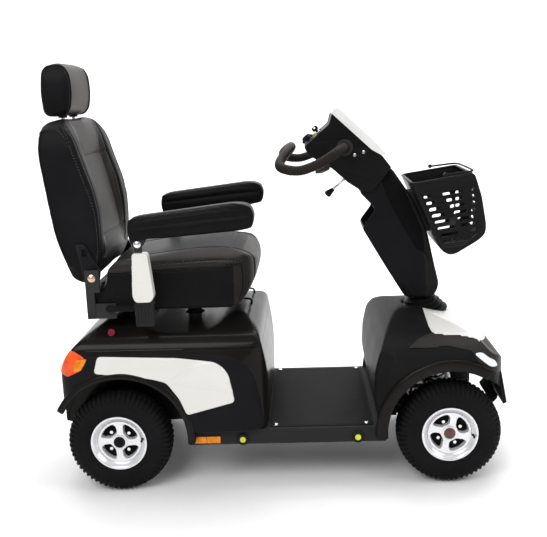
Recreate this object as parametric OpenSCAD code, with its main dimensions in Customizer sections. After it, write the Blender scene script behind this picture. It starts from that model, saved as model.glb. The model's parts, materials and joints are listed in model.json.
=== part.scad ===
// Four-wheel mobility scooter. +X is forward, +Y is the rider's left, +Z is up.
// The origin lies on the floor, under the centre of the whole scooter.

/* [Wheels] */
// Distance of each axle ahead of or behind the origin
axle_x = 520; // [515:1:525]
// Outer radius of a tyre
wheel_r = 165; // [160:1:165]
// Width of a tyre at its widest
tyre_w = 106; // [100:1:106]
// Middle of a front tyre, from the centre line
front_track_y = 246; // [246:1:248]
// Middle of a rear tyre, from the centre line
rear_track_y = 259; // [257:1:260]
// Kingpin, from the centre line
kingpin_y = 188; // [186:1:188]

/* [Floor and body] */
// Height of the rubber mat's top
deck_z = 200; // [200:1:202]
// Half width of the floor pan
deck_half_w = 288; // [280:1:290]
// Half width of the rear body, without its white panels
rear_half_w = 316; // [314:1:316]
// Half width of the front body
front_half_w = 306; // [300:1:308]
// Wall of the moulded body shells
shell_t = 4; // [3:0.5:4]

/* [Steering] */
// Lean of the steering axis from upright, towards the rider
rake = 12; // [11:0.5:13]
// Half width of the tiller cover
tiller_half_w = 78; // [70:1:80]
// Half width of the control head
head_half_w = 104; // [98:1:106]
// Radius of the handlebar tube over its grip
grip_r = 15.5; // [14:0.5:16]

/* [Seat] */
// Centre of the seat post, behind the origin
post_x = -300; // [-302:1:-298]
// Half width of the seat cushion
cushion_half_w = 238; // [230:1:240]
// Half width of the backrest
back_half_w = 228; // [220:1:230]
// Inner and outer faces of an armrest, from the centre line
arm_y = [262, 325];

/* [Basket] */
// Half width of the basket at its rim
basket_half_w = 150; // [145:1:152]
// Half width of the basket at its floor
basket_floor_half_w = 122; // [116:1:126]

/* [Hidden] */
$fn = 48;

// running clearance between a shaft and its bore, on the radius
fit = 0.05;
stub_r = 10 - fit;
kingpin_r = 8 - fit;
swing_pin_r = 8 - fit;
rail_y = [60, 90];
wheel_z = wheel_r;
front_pivot = [350, 150];
rear_pivot = [-255, 150];
steer_base = [470, 500];
tilt_pivot = [steer_base.x - 90 * sin(rake), steer_base.y + 90 * cos(rake)];
spine_lean = 22;
recline_pivot = [-578, 686];
arm_pivot = [-415, 801];
headrest_post_x = -678;
tie_x = axle_x - 60;
tie_z = 123;
front_arch = [524, 178, 200];
rear_arch = [-503, 177, 205];
dash_angle = 40;
basket_lean = 23.5;
basket_slots = 7;

// ---------- helpers ----------

// prism of a side outline, given as [x, z] points, between two Y planes
module side_plate(points, y0, y1) {
    translate([0, y1, 0]) rotate([90, 0, 0]) linear_extrude(y1 - y0) polygon(points);
}

// the same prism with its outline grown outwards by d
module grown_side_plate(points, d, y0, y1) {
    translate([0, y1, 0]) rotate([90, 0, 0]) linear_extrude(y1 - y0)
        offset(delta = d) polygon(points);
}

// cylinder along Y from y0 to y1, centred at [x, z]
module y_rod(x, z, r, y0, y1) {
    translate([x, y1, z]) rotate([90, 0, 0]) cylinder(r = r, h = y1 - y0);
}

// child, and its mirror image on the other side of the scooter
module both_sides() {
    children();
    mirror([0, 1, 0]) children();
}

// places its children on the steering axis, s above the hood
module on_steer_axis(s = 0) {
    translate([steer_base.x, 0, steer_base.y]) rotate([0, -rake, 0]) translate([0, 0, s]) children();
}

function unit(v) = v / norm(v);
function mirrored(points) = [for (p = points) p, for (i = [len(points) - 1:-1:0]) [points[i].x, -points[i].y]];
function mirrored_y(points) = [for (p = points) p, for (i = [len(points) - 1:-1:0]) [-points[i].x, points[i].y]];

// point at u on a smooth curve through the points, u running from 0 to len - 1
function curve_at(pts, u) =
    let (i = min(floor(u), len(pts) - 2), t = u - i,
        a = pts[max(i - 1, 0)], b = pts[i], c = pts[i + 1], d = pts[min(i + 2, len(pts) - 1)])
    0.5 * (2 * b + (c - a) * t + (2 * a - 5 * b + 4 * c - d) * t * t + (3 * b - 3 * c + d - a) * t * t * t);
function smooth_path(pts, steps) =
    [for (k = [0:(len(pts) - 1) * steps]) curve_at(pts, k / steps)];

// round bar of radius r along the path, with closed ends
module swept_bar(path, r, sides = 12) {
    n = len(path);
    rings = [for (i = [0:n - 1])
        let (t = unit(path[min(i + 1, n - 1)] - path[max(i - 1, 0)]),
            side = unit(cross([0.05, 0.02, 1], t)), up = cross(t, side))
        [for (k = [0:sides - 1]) path[i] + r * (cos(360 * k / sides) * side + sin(360 * k / sides) * up)]];
    polyhedron(points = [for (ring = rings) each ring],
        faces = concat([[for (k = [0:sides - 1]) k]],
            [for (i = [0:n - 2], k = [0:sides - 1])
                let (a = i * sides + k, b = i * sides + (k + 1) % sides)
                each [[a, a + sides, b + sides], [a, b + sides, b]]],
            [[for (k = [sides - 1:-1:0]) (n - 1) * sides + k]]));
}

// coil spring standing on z0 at [x, y], reaching z1
module coil(x, y, z0, z1, r, wire_r, turns, per_turn = 12) {
    pitch_z = (z1 - z0 - 2 * wire_r) / (turns * per_turn);
    swept_bar([for (i = [0:turns * per_turn])
        [x + r * cos(360 * i / per_turn), y + r * sin(360 * i / per_turn), z0 + wire_r + i * pitch_z]],
        wire_r, 6);
}

// ---------- chassis ----------

// steel frame: two rails, the rear kick-up, the front tower and the head tube
module chassis_frame() color("dimgray") {
    tower_z = 402;
    rear_top_z = 382;
    both_sides() {
        translate([-300, rail_y[0], 150]) cube([675, 30, 40]);
        translate([-300, rail_y[0], 190]) cube([30, 30, rear_top_z - 190]);
        translate([-640, rail_y[0], rear_top_z]) cube([370, 30, 26]);
        translate([axle_x * -1 - 30, 90, rear_top_z]) cube([60, 46, 8]);
        translate([350, rail_y[0], 190]) cube([25, 30, tower_z - 190]);
        translate([350, 46, tower_z]) cube([200, 52, 20]);
        // lugs with tie-down holes for transport straps
        for (x = [-300, 300]) tie_lug(x);
    }
    difference() {
        union() {
            translate([420, -46, tower_z]) cube([100, 92, 20]);
            on_steer_axis(-102) cylinder(r = 34, h = 84);
        }
        on_steer_axis(-140) cylinder(r = 20, h = 160);
    }
    translate([-640, -60, rear_top_z]) cube([30, 120, 26]);
    translate([300, -60, 150]) cube([25, 120, 40]);
    y_rod(front_pivot.x, front_pivot.y, swing_pin_r, -60, 60);
    y_rod(rear_pivot.x, rear_pivot.y, swing_pin_r, -60, 60);
    difference() {
        union() {
            translate([post_x - 36, -60, 190]) cube([66, 120, 26]);
            translate([post_x, -60, rear_top_z]) cube([30, 120, 26]);
            translate([post_x, 0, 216]) cylinder(r = 31, h = 250);
        }
        translate([post_x, 0, 205]) cylinder(r = 25, h = 300);
    }
    // outriggers that carry the floor pan's edges
    both_sides() for (x = [-280, -40, 270]) translate([x, 90, 160]) cube([30, 170, 20]);
}

// one strap lug below a rail, with its round hole across the scooter
module tie_lug(x) {
    difference() {
        translate([x, 70, 112]) cube([34, 8, 38]);
        y_rod(x + 17, 131, 11, 60, 90);
    }
}

module floor_pan() color([0.12, 0.12, 0.13]) {
    outer = [[-300, 147], [318, 147], [323, 152], [323, 196], [-300, 196]];
    difference() {
        side_plate(outer, -deck_half_w, deck_half_w);
        translate([-310, -deck_half_w + 6, 140]) cube([625, 2 * deck_half_w - 12, 50]);
        translate([-304, -100, 188]) cube([70, 200, 10]);
        translate([310, -100, 140]) cube([20, 200, 51]);
    }
}

// ribbed mat with a round-headed screw in each corner
module floor_mat() color([0.2, 0.2, 0.21]) {
    mat_t = 4;
    translate([-46, -276, 196]) cube([328, 552, mat_t - 1]);
    for (y = [-268:16:268]) translate([-42, y - 4, 196 + mat_t - 1]) cube([320, 8, 1]);
    both_sides() {
        translate([-26, 256, 199]) cylinder(r = 6, h = 2.5);
        translate([262, 256, 199]) cylinder(r = 6, h = 2.5);
    }
}

// tie-down bosses with bright caps, on the sill under the floor
module tie_downs() color([0.7, 0.75, 0.1])
    both_sides() for (x = [-130, 232]) {
        y_rod(x, 164, 19, deck_half_w, deck_half_w + 8);
        y_rod(x, 164, 8.5, deck_half_w + 8, deck_half_w + 11);
    }

module side_reflectors() color("orange")
    both_sides() side_plate([[-289, 151], [-199, 151], [-199, 177], [-289, 177]],
        deck_half_w, deck_half_w + 5);

module batteries() color([0.16, 0.17, 0.2])
    both_sides() {
        translate([-248, 8, 197]) cube([168, 250, 196]);
        for (y = [40, 215]) translate([-164, y, 393]) cylinder(r = 9, h = 14);
    }

// ---------- rear body ----------

rear_side = [[-47, 196], [-44, 350], [-50, 410], [-60, 467], [-655, 467], [-690, 405], [-712, 335],
    [-720, 270], [-720, 216], [-706, 196]];
rear_plan = [[-42, 245], [-56, 282], [-90, 304], [-150, 316], [-590, 316], [-655, 308], [-690, 280],
    [-712, 200], [-720, 100]];
rear_front = [[316, 190], [316, 405], [308, 440], [296, 470]];

module rear_form(d, low = 0) {
    intersection() {
        grown_side_plate(rear_side, d, -rear_half_w - 10, rear_half_w + 10);
        translate([0, 0, 150]) linear_extrude(330) offset(delta = d) polygon(mirrored(rear_plan));
        translate([-760, 0, 0]) rotate([90, 0, 90]) linear_extrude(740)
            offset(delta = d) polygon(mirrored_y(rear_front));
    }
    if (low > 0) translate([-700, -300, 196 - low]) cube([640, 600, low + shell_t + 1]);
}

module rear_body() color([0.13, 0.13, 0.14])
    difference() {
        rear_form(0);
        difference() {
            rear_form(-shell_t, 20);
            translate([-800, -400, 467 - shell_t]) cube([800, 800, 40]);
        }
        translate([-620, -270, 440]) cube([520, 540, 40]);
        both_sides() {
            y_rod(rear_arch.x, rear_arch.y, rear_arch[2], 195, 400);
            translate([-740, 200, 150]) cube([110, 200, 133]);
        }
    }

// pressed white panels, one on each side above the wheel
module rear_panels() color([0.93, 0.93, 0.91])
    both_sides() side_plate([[-580, 402], [-572, 440], [-556, 452], [-320, 440], [-209, 428], [-175, 411],
        [-161, 388], [-146, 300], [-298, 259], [-315, 310], [-351, 361], [-460, 388]],
        rear_half_w, rear_half_w + 4);

module rear_lights() color([0.85, 0.3, 0.1])
    both_sides() intersection() {
        difference() { rear_form(4); rear_form(0); }
        side_plate([[-600, 452], [-618, 402], [-668, 385], [-700, 405], [-680, 460]], 225, 330);
    }

shroud_side = [[-60, 467], [-66, 500], [-86, 524], [-130, 538], [-170, 535], [-205, 510], [-225, 484],
    [-245, 475], [-365, 475], [-395, 482], [-430, 508], [-470, 530], [-520, 540], [-560, 533],
    [-605, 510], [-640, 482], [-655, 467]];
shroud_plan = [[-55, 225], [-75, 262], [-120, 288], [-200, 298], [-580, 298], [-630, 280], [-652, 230],
    [-668, 120]];
shroud_front = [[302, 460], [296, 482], [270, 505], [205, 526], [110, 538], [0.01, 542]];

module shroud_form(d) {
    intersection() {
        grown_side_plate(shroud_side, d, -310, 310);
        translate([0, 0, 440]) linear_extrude(120) offset(delta = d) polygon(mirrored(shroud_plan));
        translate([-760, 0, 0]) rotate([90, 0, 90]) linear_extrude(740)
            offset(delta = d) polygon(mirrored_y(shroud_front));
    }
}

// glossy cover over the batteries, with a valley round the seat post
module rear_shroud() color([0.1, 0.09, 0.09])
    difference() {
        shroud_form(0);
        shroud_form(-3);
        translate([-620, -270, 460]) cube([530, 540, 11]);
        translate([post_x, 0, 440]) cylinder(r = 33, h = 60);
        freewheel_axis() {
            translate([0, 0, -30]) cylinder(r = 5.5, h = 60);
            translate([0, 0, 10]) cylinder(r = 13.5, h = 60);
        }
    }

module freewheel_axis() {
    translate([-527, -232, 500]) rotate([62, 0, 0]) children();
}

// red pull knob that lets the motor go for pushing by hand
module freewheel_lever() color([0.75, 0.06, 0.12])
    freewheel_axis() {
        translate([0, 0, -30]) cylinder(r = 4.5, h = 52);
        translate([0, 0, 21]) cylinder(r1 = 8, r2 = 12, h = 6);
        translate([0, 0, 27]) cylinder(r = 12, h = 7);
    }

// ---------- front body ----------

front_side = [[299, 201], [284, 300], [287, 370], [300, 428], [322, 478], [352, 511], [392, 527],
    [430, 528], [480, 514], [557, 491], [608, 467], [649, 440], [676, 411], [700, 376], [712, 340],
    [718, 300], [720, 250], [718, 212], [700, 186], [640, 180], [334, 180], [326, 201]];
front_plan = [[283, 284], [330, 299], [430, 306], [560, 306], [628, 300], [668, 276], [694, 232],
    [710, 150], [720, 60]];
front_front = [[306, 170], [306, 425], [292, 455], [245, 482], [160, 508], [80, 522], [0.01, 528]];

module front_form(d) {
    intersection() {
        grown_side_plate(front_side, d, -320, 320);
        translate([0, 0, 160]) linear_extrude(390) offset(delta = d) polygon(mirrored(front_plan));
        translate([200, 0, 0]) rotate([90, 0, 90]) linear_extrude(540)
            offset(delta = d) polygon(mirrored_y(front_front));
    }
}

module front_wheel_arches()
    both_sides() y_rod(front_arch.x, front_arch.y, front_arch[2], 96, 400);

module front_body() color([0.14, 0.14, 0.15])
    difference() {
        front_form(0);
        front_form(-shell_t);
        translate([335, -280, 170]) cube([350, 560, 20]);
        translate([303, -275, 190]) cube([40, 550, 20]);
        translate([320, -100, 170]) cube([25, 200, 24]);
        front_wheel_arches();
        on_steer_axis(-60) cylinder(r = 80, h = 130);
    }

// white bonnet over the nose, open round the bellows
module front_hood() color([0.94, 0.94, 0.92])
    difference() {
        intersection() {
            front_form(4);
            translate([452, -330, 448]) cube([280, 660, 110]);
        }
        front_form(0);
        on_steer_axis(-60) cylinder(r = 80, h = 130);
    }

lamp_outline = [[590, 434], [617, 434], [655, 402], [668, 380], [638, 388]];

// lighter nose trim under the bonnet
module front_cowl() color([0.32, 0.31, 0.31])
    difference() {
        intersection() {
            front_form(3);
            side_plate([[560, 446], [652, 446], [730, 400], [730, 340], [690, 346], [640, 360], [600, 400]],
                -330, 330);
        }
        front_form(0);
        both_sides() grown_side_plate(lamp_outline, 1, 190, 330);
    }

module headlights() color([0.95, 0.96, 0.98])
    both_sides() difference() {
        intersection() {
            front_form(4);
            side_plate(lamp_outline, 191, 330);
        }
        front_form(0);
    }

// ---------- wheels and running gear ----------

// half section of a tyre, [radius, distance from its middle]
tyre_outer = [[82, 42], [90, 43.4], [100, 48.5], [112, 52.2], [124, 53], [138, 51.5], [150, 46.5],
    [158, 38], [163, 25], [165, 10]];
tyre_inner = [[82, 30], [96, 34], [110, 41], [128, 42], [142, 37], [151, 24], [154, 8]];

module tyre(x, y) color([0.08, 0.08, 0.08])
    translate([x, y, wheel_z]) rotate([90, 0, 0]) scale(wheel_r / 165)
        rotate_extrude() difference() {
            polygon(mirrored(tyre_outer));
            polygon([each mirrored(tyre_inner), [70, -30], [70, 30]]);
        }

// cast rim with four windows; side is -1 on the rider's right
module rim(x, y, side) color("silver")
    translate([x, y, wheel_z]) rotate([90 * -side, 0, 0]) {
        difference() {
            union() {
                rotate_extrude() polygon([[74, -47], [88, -47], [88, -43.8], [81.9, -43.8], [81.9, 43.8],
                    [88, 43.8], [88, 47], [74, 47]]);
                translate([0, 0, 18]) cylinder(r = 74.5, h = 12);
                translate([0, 0, -20]) cylinder(r = 26, h = 56);
                for (a = [45:90:315]) rotate(a) translate([36, 0, 29]) cylinder(r = 6, h = 6);
            }
            translate([0, 0, -30]) cylinder(r = 10, h = 62);
            for (a = [0:90:270]) rotate(a) translate([54, 0, 0]) cylinder(r = 15, h = 60);
        }
        translate([0, 0, 36]) cylinder(r1 = 22, r2 = 17, h = 7);
    }

module tyre_fl() tyre(axle_x, front_track_y);
module tyre_fr() tyre(axle_x, -front_track_y);
module tyre_rl() tyre(-axle_x, rear_track_y);
module tyre_rr() tyre(-axle_x, -rear_track_y);
module rim_fl() rim(axle_x, front_track_y, 1);
module rim_fr() rim(axle_x, -front_track_y, -1);
module rim_rl() rim(-axle_x, rear_track_y, 1);
module rim_rr() rim(-axle_x, -rear_track_y, -1);

// spring seat, a shallow cup round the foot of a coil
module spring_cup(x, y, z, r, h = 14) {
    translate([x, y, z]) difference() {
        cylinder(r = r, h = h);
        translate([0, 0, h - 8]) cylinder(r = r - 3, h = 9);
    }
}

// motor, gearbox and axle tube on a swing frame
module rear_axle() color([0.3, 0.3, 0.31]) {
    difference() {
        union() {
            y_rod(rear_pivot.x, rear_pivot.y, 15, -56, 56);
            both_sides() translate([-axle_x, 26, 138]) cube([axle_x + rear_pivot.x - 4, 28, 26]);
        }
        y_rod(rear_pivot.x, rear_pivot.y, 8, -70, 70);
    }
    y_rod(-axle_x, wheel_z, 30, -196, 196);
    y_rod(-axle_x, wheel_z, 74, -42, 42);
    translate([-560, 0, wheel_z + 6]) rotate([0, 90, 0]) cylinder(r = 44, h = 210);
    both_sides() {
        y_rod(-axle_x, wheel_z, 52, 196, 230);
        y_rod(-axle_x, wheel_z, stub_r, 230, rear_track_y + 29);
        spring_cup(-axle_x, 113, 192, 27);
    }
}

module rear_springs() color([0.75, 0.1, 0.1])
    both_sides() coil(-axle_x, 113, 198.5, 381.5, 18, 4.5, 5);

// beam on two leading arms, with a yoke for each kingpin
module front_axle() color([0.25, 0.25, 0.26]) {
    difference() {
        union() {
            y_rod(front_pivot.x, front_pivot.y, 15, -56, 56);
            both_sides() translate([front_pivot.x + 4, 30, 142]) cube([axle_x - front_pivot.x, 22, 26]);
            translate([axle_x - 18, -168, 148]) cube([36, 336, 34]);
        }
        y_rod(front_pivot.x, front_pivot.y, 8, -70, 70);
    }
    both_sides() {
        for (z = [wheel_z - 34, wheel_z + 24]) hull() {
            translate([axle_x, kingpin_y, z]) cylinder(r = 13, h = 10, $fn = 32);
            translate([axle_x - 14, 150, z]) cube([28, 6, 10]);
        }
        translate([axle_x - 14, 146, wheel_z - 34]) cube([28, 14, 68]);
        translate([axle_x, kingpin_y, wheel_z - 30]) cylinder(r = kingpin_r, h = 60);
        spring_cup(axle_x, 72, 181, 26);
    }
}

module front_springs() color([0.55, 0.56, 0.58])
    both_sides() coil(axle_x, 72, 187.5, 401.5, 18, 4.5, 6);

// barrel on the kingpin, stub axle and steering arm with its ball pin
module knuckle(side) color([0.22, 0.22, 0.23]) {
    ky = side * kingpin_y;
    difference() {
        union() {
            translate([axle_x, ky, wheel_z - 23]) cylinder(r = 13.5, h = 46);
            y_rod(axle_x, wheel_z, 15, min(ky, side * 225), max(ky, side * 225));
            translate([tie_x, ky - 7, wheel_z - 22]) cube([axle_x - tie_x, 14, 12]);
            translate([tie_x, ky, wheel_z - 22]) cylinder(r = 8, h = 12);
        }
        translate([axle_x, ky, wheel_z - 60]) cylinder(r = 8, h = 120);
    }
    stub = [side * 225, side * (front_track_y + 29)];
    y_rod(axle_x, wheel_z, stub_r, min(stub), max(stub));
    translate([tie_x, ky, tie_z - 6]) cylinder(r = 5 - fit, h = wheel_z - 22 - tie_z + 6);
}
module knuckle_l() knuckle(1);
module knuckle_r() knuckle(-1);

// rod between the steering arms; the left eye is opened out
module tie_rod() color("dimgray") {
    difference() {
        union() {
            y_rod(tie_x, tie_z, 5, -kingpin_y + 4, kingpin_y - 4);
            both_sides() translate([tie_x, kingpin_y, tie_z - 5]) cylinder(r = 9, h = 10);
        }
        translate([tie_x, -kingpin_y, tie_z - 20]) cylinder(r = 5, h = 40);
        translate([tie_x, kingpin_y, tie_z - 20]) cylinder(r = 6.5, h = 40);
    }
}

// ---------- steering and tiller ----------

// column in the head tube, with its pitman arm below and the tilt clevis on top
module steering_column() color([0.3, 0.3, 0.32]) {
    difference() {
        union() {
            on_steer_axis(-190) cylinder(r = 20 - fit, h = 240);
            translate([tilt_pivot.x - 16, -20, tilt_pivot.y - 44]) cube([32, 40, 56]);
        }
        y_rod(tilt_pivot.x, tilt_pivot.y, 8, -40, 40);
        translate([tilt_pivot.x - 40, -11, tilt_pivot.y - 22]) cube([80, 22, 60]);
    }
    on_steer_axis(-206) cylinder(r = 26, h = 16);
    on_steer_axis(-17.7) cylinder(r = 40, h = 6);
}

// ribbed rubber gaiter round the column, under the tiller
module bellows() color([0.05, 0.05, 0.05])
    on_steer_axis(-14) rotate_extrude() polygon([[74, 0], [77, 10], [70, 14], [74, 22], [62, 27], [64, 35],
        [52, 40], [52, 47], [43, 52], [43, 60], [38, 60], [37, 52], [44, 46], [44, 40], [54, 34],
        [52, 27], [62, 21], [60, 14], [68, 9], [68, 0]]);

// inner tube of the tiller, with the tilt eye at its foot
module tiller_spine() color([0.35, 0.35, 0.37]) {
    y_rod(tilt_pivot.x, tilt_pivot.y, 14, -10.5, 10.5);
    y_rod(tilt_pivot.x, tilt_pivot.y, 8 - fit, -25, 25);
    on_spine(8) translate([-8, -8, 0]) cube([16, 16, 52]);
    on_spine(50) cylinder(r = 17, h = 285);
}

// places its children on the tiller's inner tube, s above the tilt pivot
module on_spine(s) {
    translate([tilt_pivot.x, 0, tilt_pivot.y]) rotate([0, -spine_lean, 0]) translate([0, 0, s]) children();
}

tiller_front = [[498, 552], [513, 572], [518, 600], [501, 667], [479, 769], [440, 864], [413, 909], [361, 986]];
tiller_rear = [[299, 905], [320, 851], [270, 797], [270, 786], [340, 665], [408, 552]];

// moulded cover with a storage pocket open at its top, on the rider's side
module tiller_cover() color([0.09, 0.09, 0.1])
    difference() {
        side_plate([each tiller_front, each tiller_rear], -tiller_half_w, tiller_half_w);
        side_plate([[417, 540], [498, 540], [509, 575], [513, 600], [496, 666], [474, 767], [435, 862],
            [409, 906], [366, 970], [348, 944], [372, 890], [410, 790], [420, 690], [384, 640]],
            -tiller_half_w + 4, tiller_half_w - 4);
        on_spine(40) cylinder(r = 18, h = 300);
        side_plate([[262, 806], [284, 784], [342, 690], [392, 660], [404, 690], [394, 780], [340, 880], [330, 852]],
            -tiller_half_w + 5, tiller_half_w - 5);
    }

head_side = [[99, 1032], [86, 1059], [166, 1126], [176, 1160], [298, 1044], [332, 1024], [361, 986.5],
    [299, 905.5], [265, 913], [222, 942], [174, 987]];

// lower casing of the control head, hollow for its electronics
module head_base() color([0.1, 0.1, 0.11])
    difference() {
        side_plate(head_side, -head_half_w, head_half_w);
        side_plate([[108, 1034], [96, 1057], [170, 1119], [178, 1150], [294, 1039], [326, 1019], [354, 987],
            [299, 915], [268, 918], [226, 947], [178, 992]], -head_half_w + 4, head_half_w - 4);
        on_dash(22, -20) cylinder(r = 5.5, h = 30, center = true);
        on_dash(62, -62) cylinder(r = 5.5, h = 30, center = true);
        on_dash(46, 62) cylinder(r = 7.5, h = 30, center = true);
        on_dash(66, 26) cube([16.6, 31.6, 30], center = true);
        y_rod(212, 1053, grip_r + 2, -head_half_w - 5, head_half_w + 5);
        translate([132, 0, 990]) cylinder(r = 8, h = 40);
        translate([196, -9, 920]) cube([54, 18, 54]);
    }

// point on the sloping dash, d up from its lower edge and y across
module on_dash(d, y) {
    translate([86 + d * cos(dash_angle), y, 1059 + d * sin(dash_angle)]) rotate([0, -dash_angle, 0])
        children();
}

// thin white lid over the front of the head
module head_cover() color([0.95, 0.95, 0.94])
    side_plate([[176.5, 1161], [184, 1178], [192, 1177], [312, 1060], [345, 1026], [334, 1025], [298.5, 1045]],
        -head_half_w - 4, head_half_w + 4);

module speed_knob() color([0.07, 0.07, 0.07])
    on_dash(22, -20) {
        translate([0, 0, -16]) cylinder(r = 5, h = 20);
        translate([0, 0, 3]) cylinder(r = 17, h = 9);
        translate([0, 0, 12]) cylinder(r1 = 15, r2 = 12, h = 8);
        for (a = [0:60:300]) rotate(a) translate([13, 0, 4]) cylinder(r = 6.5, h = 7);
    }

module ignition_key() color([0.1, 0.1, 0.1])
    on_dash(62, -62) {
        translate([0, 0, -16]) cylinder(r = 5, h = 20);
        translate([0, 0, 2]) cylinder(r = 9, h = 3);
        translate([-10, -1.5, 5]) cube([20, 3, 20]);
    }

module horn_button() color([0.85, 0.75, 0.1])
    on_dash(46, 62) translate([0, 0, -6]) cylinder(r = 7, h = 11);

module indicator_rocker() color([0.25, 0.25, 0.26])
    on_dash(66, 26) translate([-8, -15, -2.5]) cube([16, 30, 6]);

// closed handlebar loop, out of the head's sides and round in front of the rider
module handlebar() color([0.09, 0.08, 0.08]) {
    right_half = [[214, -96, 1052], [208, -150, 1056], [200, -205, 1056], [178, -240, 1044],
        [144, -250, 1024], [108, -252, 1008], [72, -250, 998], [38, -244, 1000], [14, -224, 1008],
        [12, -190, 1020], [24, -140, 1036], [38, -80, 1048], [44, -30, 1053]];
    left_half = [for (i = [len(right_half) - 1:-1:0])
        [right_half[i].x, -right_half[i].y, right_half[i].z]];
    swept_bar(smooth_path([each right_half, each left_half], 3), grip_r, 12);
}

// two finger paddles on one rocking bar under the head
module throttle_lever() color([0.12, 0.12, 0.12]) {
    translate([132, 0, 984]) cylinder(r = 8 - fit, h = 40);
    translate([120, -110, 974]) cube([24, 220, 11]);
    both_sides() hull() {
        translate([122, 106, 974]) cube([20, 6, 11]);
        translate([146, 184, 992]) cube([18, 8, 20]);
    }
}

// lever under the head that frees the tiller to tilt
module tilt_lever() color([0.08, 0.08, 0.08]) {
    y_rod(232, 956, 4, -8, 8);
    translate([232, 0, 956]) rotate([0, 230, 0]) {
        translate([0, 0, 2]) cylinder(r = 4, h = 74);
        translate([0, 0, 70]) cylinder(r1 = 6, r2 = 12, h = 22);
        translate([0, 0, 92]) cylinder(r1 = 12, r2 = 7, h = 8);
    }
}

// ---------- basket ----------

basket_back = function (z) 514 - (z - 722) * tan(basket_lean);
basket_side = [[basket_back(722), 722], [basket_back(958), 958], [626, 962], [642, 901], [652, 841], [657, 790],
    [640, 757], [580, 733], [536, 716]];
basket_inner = [[basket_back(722) + 9, 727], [basket_back(990) + 5, 990], [618, 990], [637, 901], [647, 841],
    [652, 792], [637, 761], [579, 738], [538, 721]];

module basket_bracket() color([0.2, 0.2, 0.2])
    side_plate([[479, 769], [440, 864], [418.4, 900], [basket_back(900) - 1.5, 900],
        [basket_back(769) - 1.5, 769]], -36, 36);

// tapering moulded basket with slotted walls and an open top
module basket() color([0.08, 0.08, 0.08]) {
    row_h = 26;
    slot_h = 12;
    slot_z = 760;
    wall = 4;
    difference() {
        intersection() {
            side_plate(basket_side, -160, 160);
            translate([300, 0, 0]) rotate([90, 0, 90]) linear_extrude(400)
                polygon(mirrored_y([[basket_floor_half_w, 700], [basket_half_w, 962], [basket_half_w, 990]]));
        }
        intersection() {
            side_plate(basket_inner, -160, 160);
            translate([300, 0, 0]) rotate([90, 0, 90]) linear_extrude(400)
                polygon(mirrored_y([[basket_floor_half_w - wall, 700], [basket_half_w - wall, 962],
                    [basket_half_w - wall, 1000]]));
        }
        for (i = [0:basket_slots - 1], k = [0:2])
            translate([basket_back(slot_z + i * row_h) + 26 + k * (54 + i * 5), -200, slot_z + i * row_h])
                cube([36 + i * 3, 400, slot_h]);
        for (i = [0:basket_slots - 1], k = [-1:1])
            translate([600, k * 70 - 25, slot_z + 8 + i * row_h]) cube([100, 50, slot_h]);
    }
}

// wire bail that folds down onto the basket's rim
module basket_handle() color([0.08, 0.08, 0.08]) {
    bail_z = 966.5;
    swept_bar(smooth_path([[520, -154, bail_z], [560, -156, bail_z], [610, -150, bail_z], [634, -120, bail_z],
        [640, -60, bail_z], [640, 60, bail_z], [634, 120, bail_z], [610, 150, bail_z], [560, 156, bail_z],
        [520, 154, bail_z]], 3), 3.5, 8);
    both_sides() y_rod(520, bail_z, 4.2, 151, 159);
}

// ---------- seat ----------

module seat_post() color([0.45, 0.45, 0.47]) {
    translate([post_x, 0, 230]) cylinder(r = 25 - fit, h = 306);
    translate([post_x, 0, 536]) cylinder(r = 60, h = 5);
}

// turntable plate and the fixed halves of the slide rails
module swivel_base() color([0.2, 0.2, 0.21]) {
    translate([post_x, 0, 541.5]) cylinder(r = 75, h = 7);
    both_sides() {
        translate([-430, 84, 548.5]) cube([270, 32, 7]);
        translate([post_x - 60, 0, 548.5]) cube([120, 116, 4]);
    }
}

// upper rails, seat pan and the cross tube that carries the armrests
module seat_frame() color([0.15, 0.15, 0.16]) {
    both_sides() {
        translate([-440, 86, 556]) cube([290, 28, 10]);
        translate([-418, 60, 556]) cube([26, 194, 17]);
        difference() {
            translate([-600, 243, 640]) cube([44, 5, 70]);
            y_rod(recline_pivot.x, recline_pivot.y, 8, 200, 300);
        }
        translate([-600, 243, 556]) cube([26, 5, 86]);
        translate([-600, 243, 556]) cube([90, 3, 48]);
        translate([-600, 60, 556]) cube([26, 188, 10]);
        translate([-600, 86, 556]) cube([200, 28, 10]);
    }
    translate([-590, -200, 573]) cube([415, 400, 4]);
    translate([-440, -60, 556]) cube([265, 120, 17]);
}

cushion_side = [[-594, 645], [-600, 612], [-592, 577], [-130, 577], [-108, 600], [-82, 640], [-63, 688],
    [-64, 728], [-86, 756], [-128, 769], [-190, 772], [-250, 768], [-354, 752], [-448, 736], [-528, 722],
    [-538, 700], [-545, 645]];

module seat_cushion() color([0.12, 0.12, 0.12])
    difference() {
        side_plate(cushion_side, -cushion_half_w, cushion_half_w);
        y_rod(recline_pivot.x, recline_pivot.y, 44, -260, 260);
    }

back_side = [[-648, 676], [-668, 740], [-690, 820], [-707, 950], [-718, 1050], [-720, 1110], [-712, 1150],
    [-690, 1172], [-655, 1174], [-628, 1150], [-606, 1109], [-583, 1029], [-560, 957], [-549, 890],
    [-548, 830], [-552, 760], [-560, 715], [-590, 660], [-620, 658]];

module backrest() color([0.12, 0.12, 0.12])
    difference() {
        side_plate(back_side, -back_half_w, back_half_w);
        both_sides() translate([headrest_post_x, 60, 1050]) cylinder(r = 6, h = 140);
    }

// hinge plates on the backrest's sides, with their pivot bolts
module backrest_plates() color("silver")
    both_sides() {
        side_plate([[-604, 668], [-560, 664], [-552, 700], [-596, 790], [-625, 790]], back_half_w,
            back_half_w + 6);
        y_rod(recline_pivot.x, recline_pivot.y, 8 - fit, back_half_w + 6, 250);
        y_rod(recline_pivot.x, recline_pivot.y, 12, 249, 253);
    }

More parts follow.
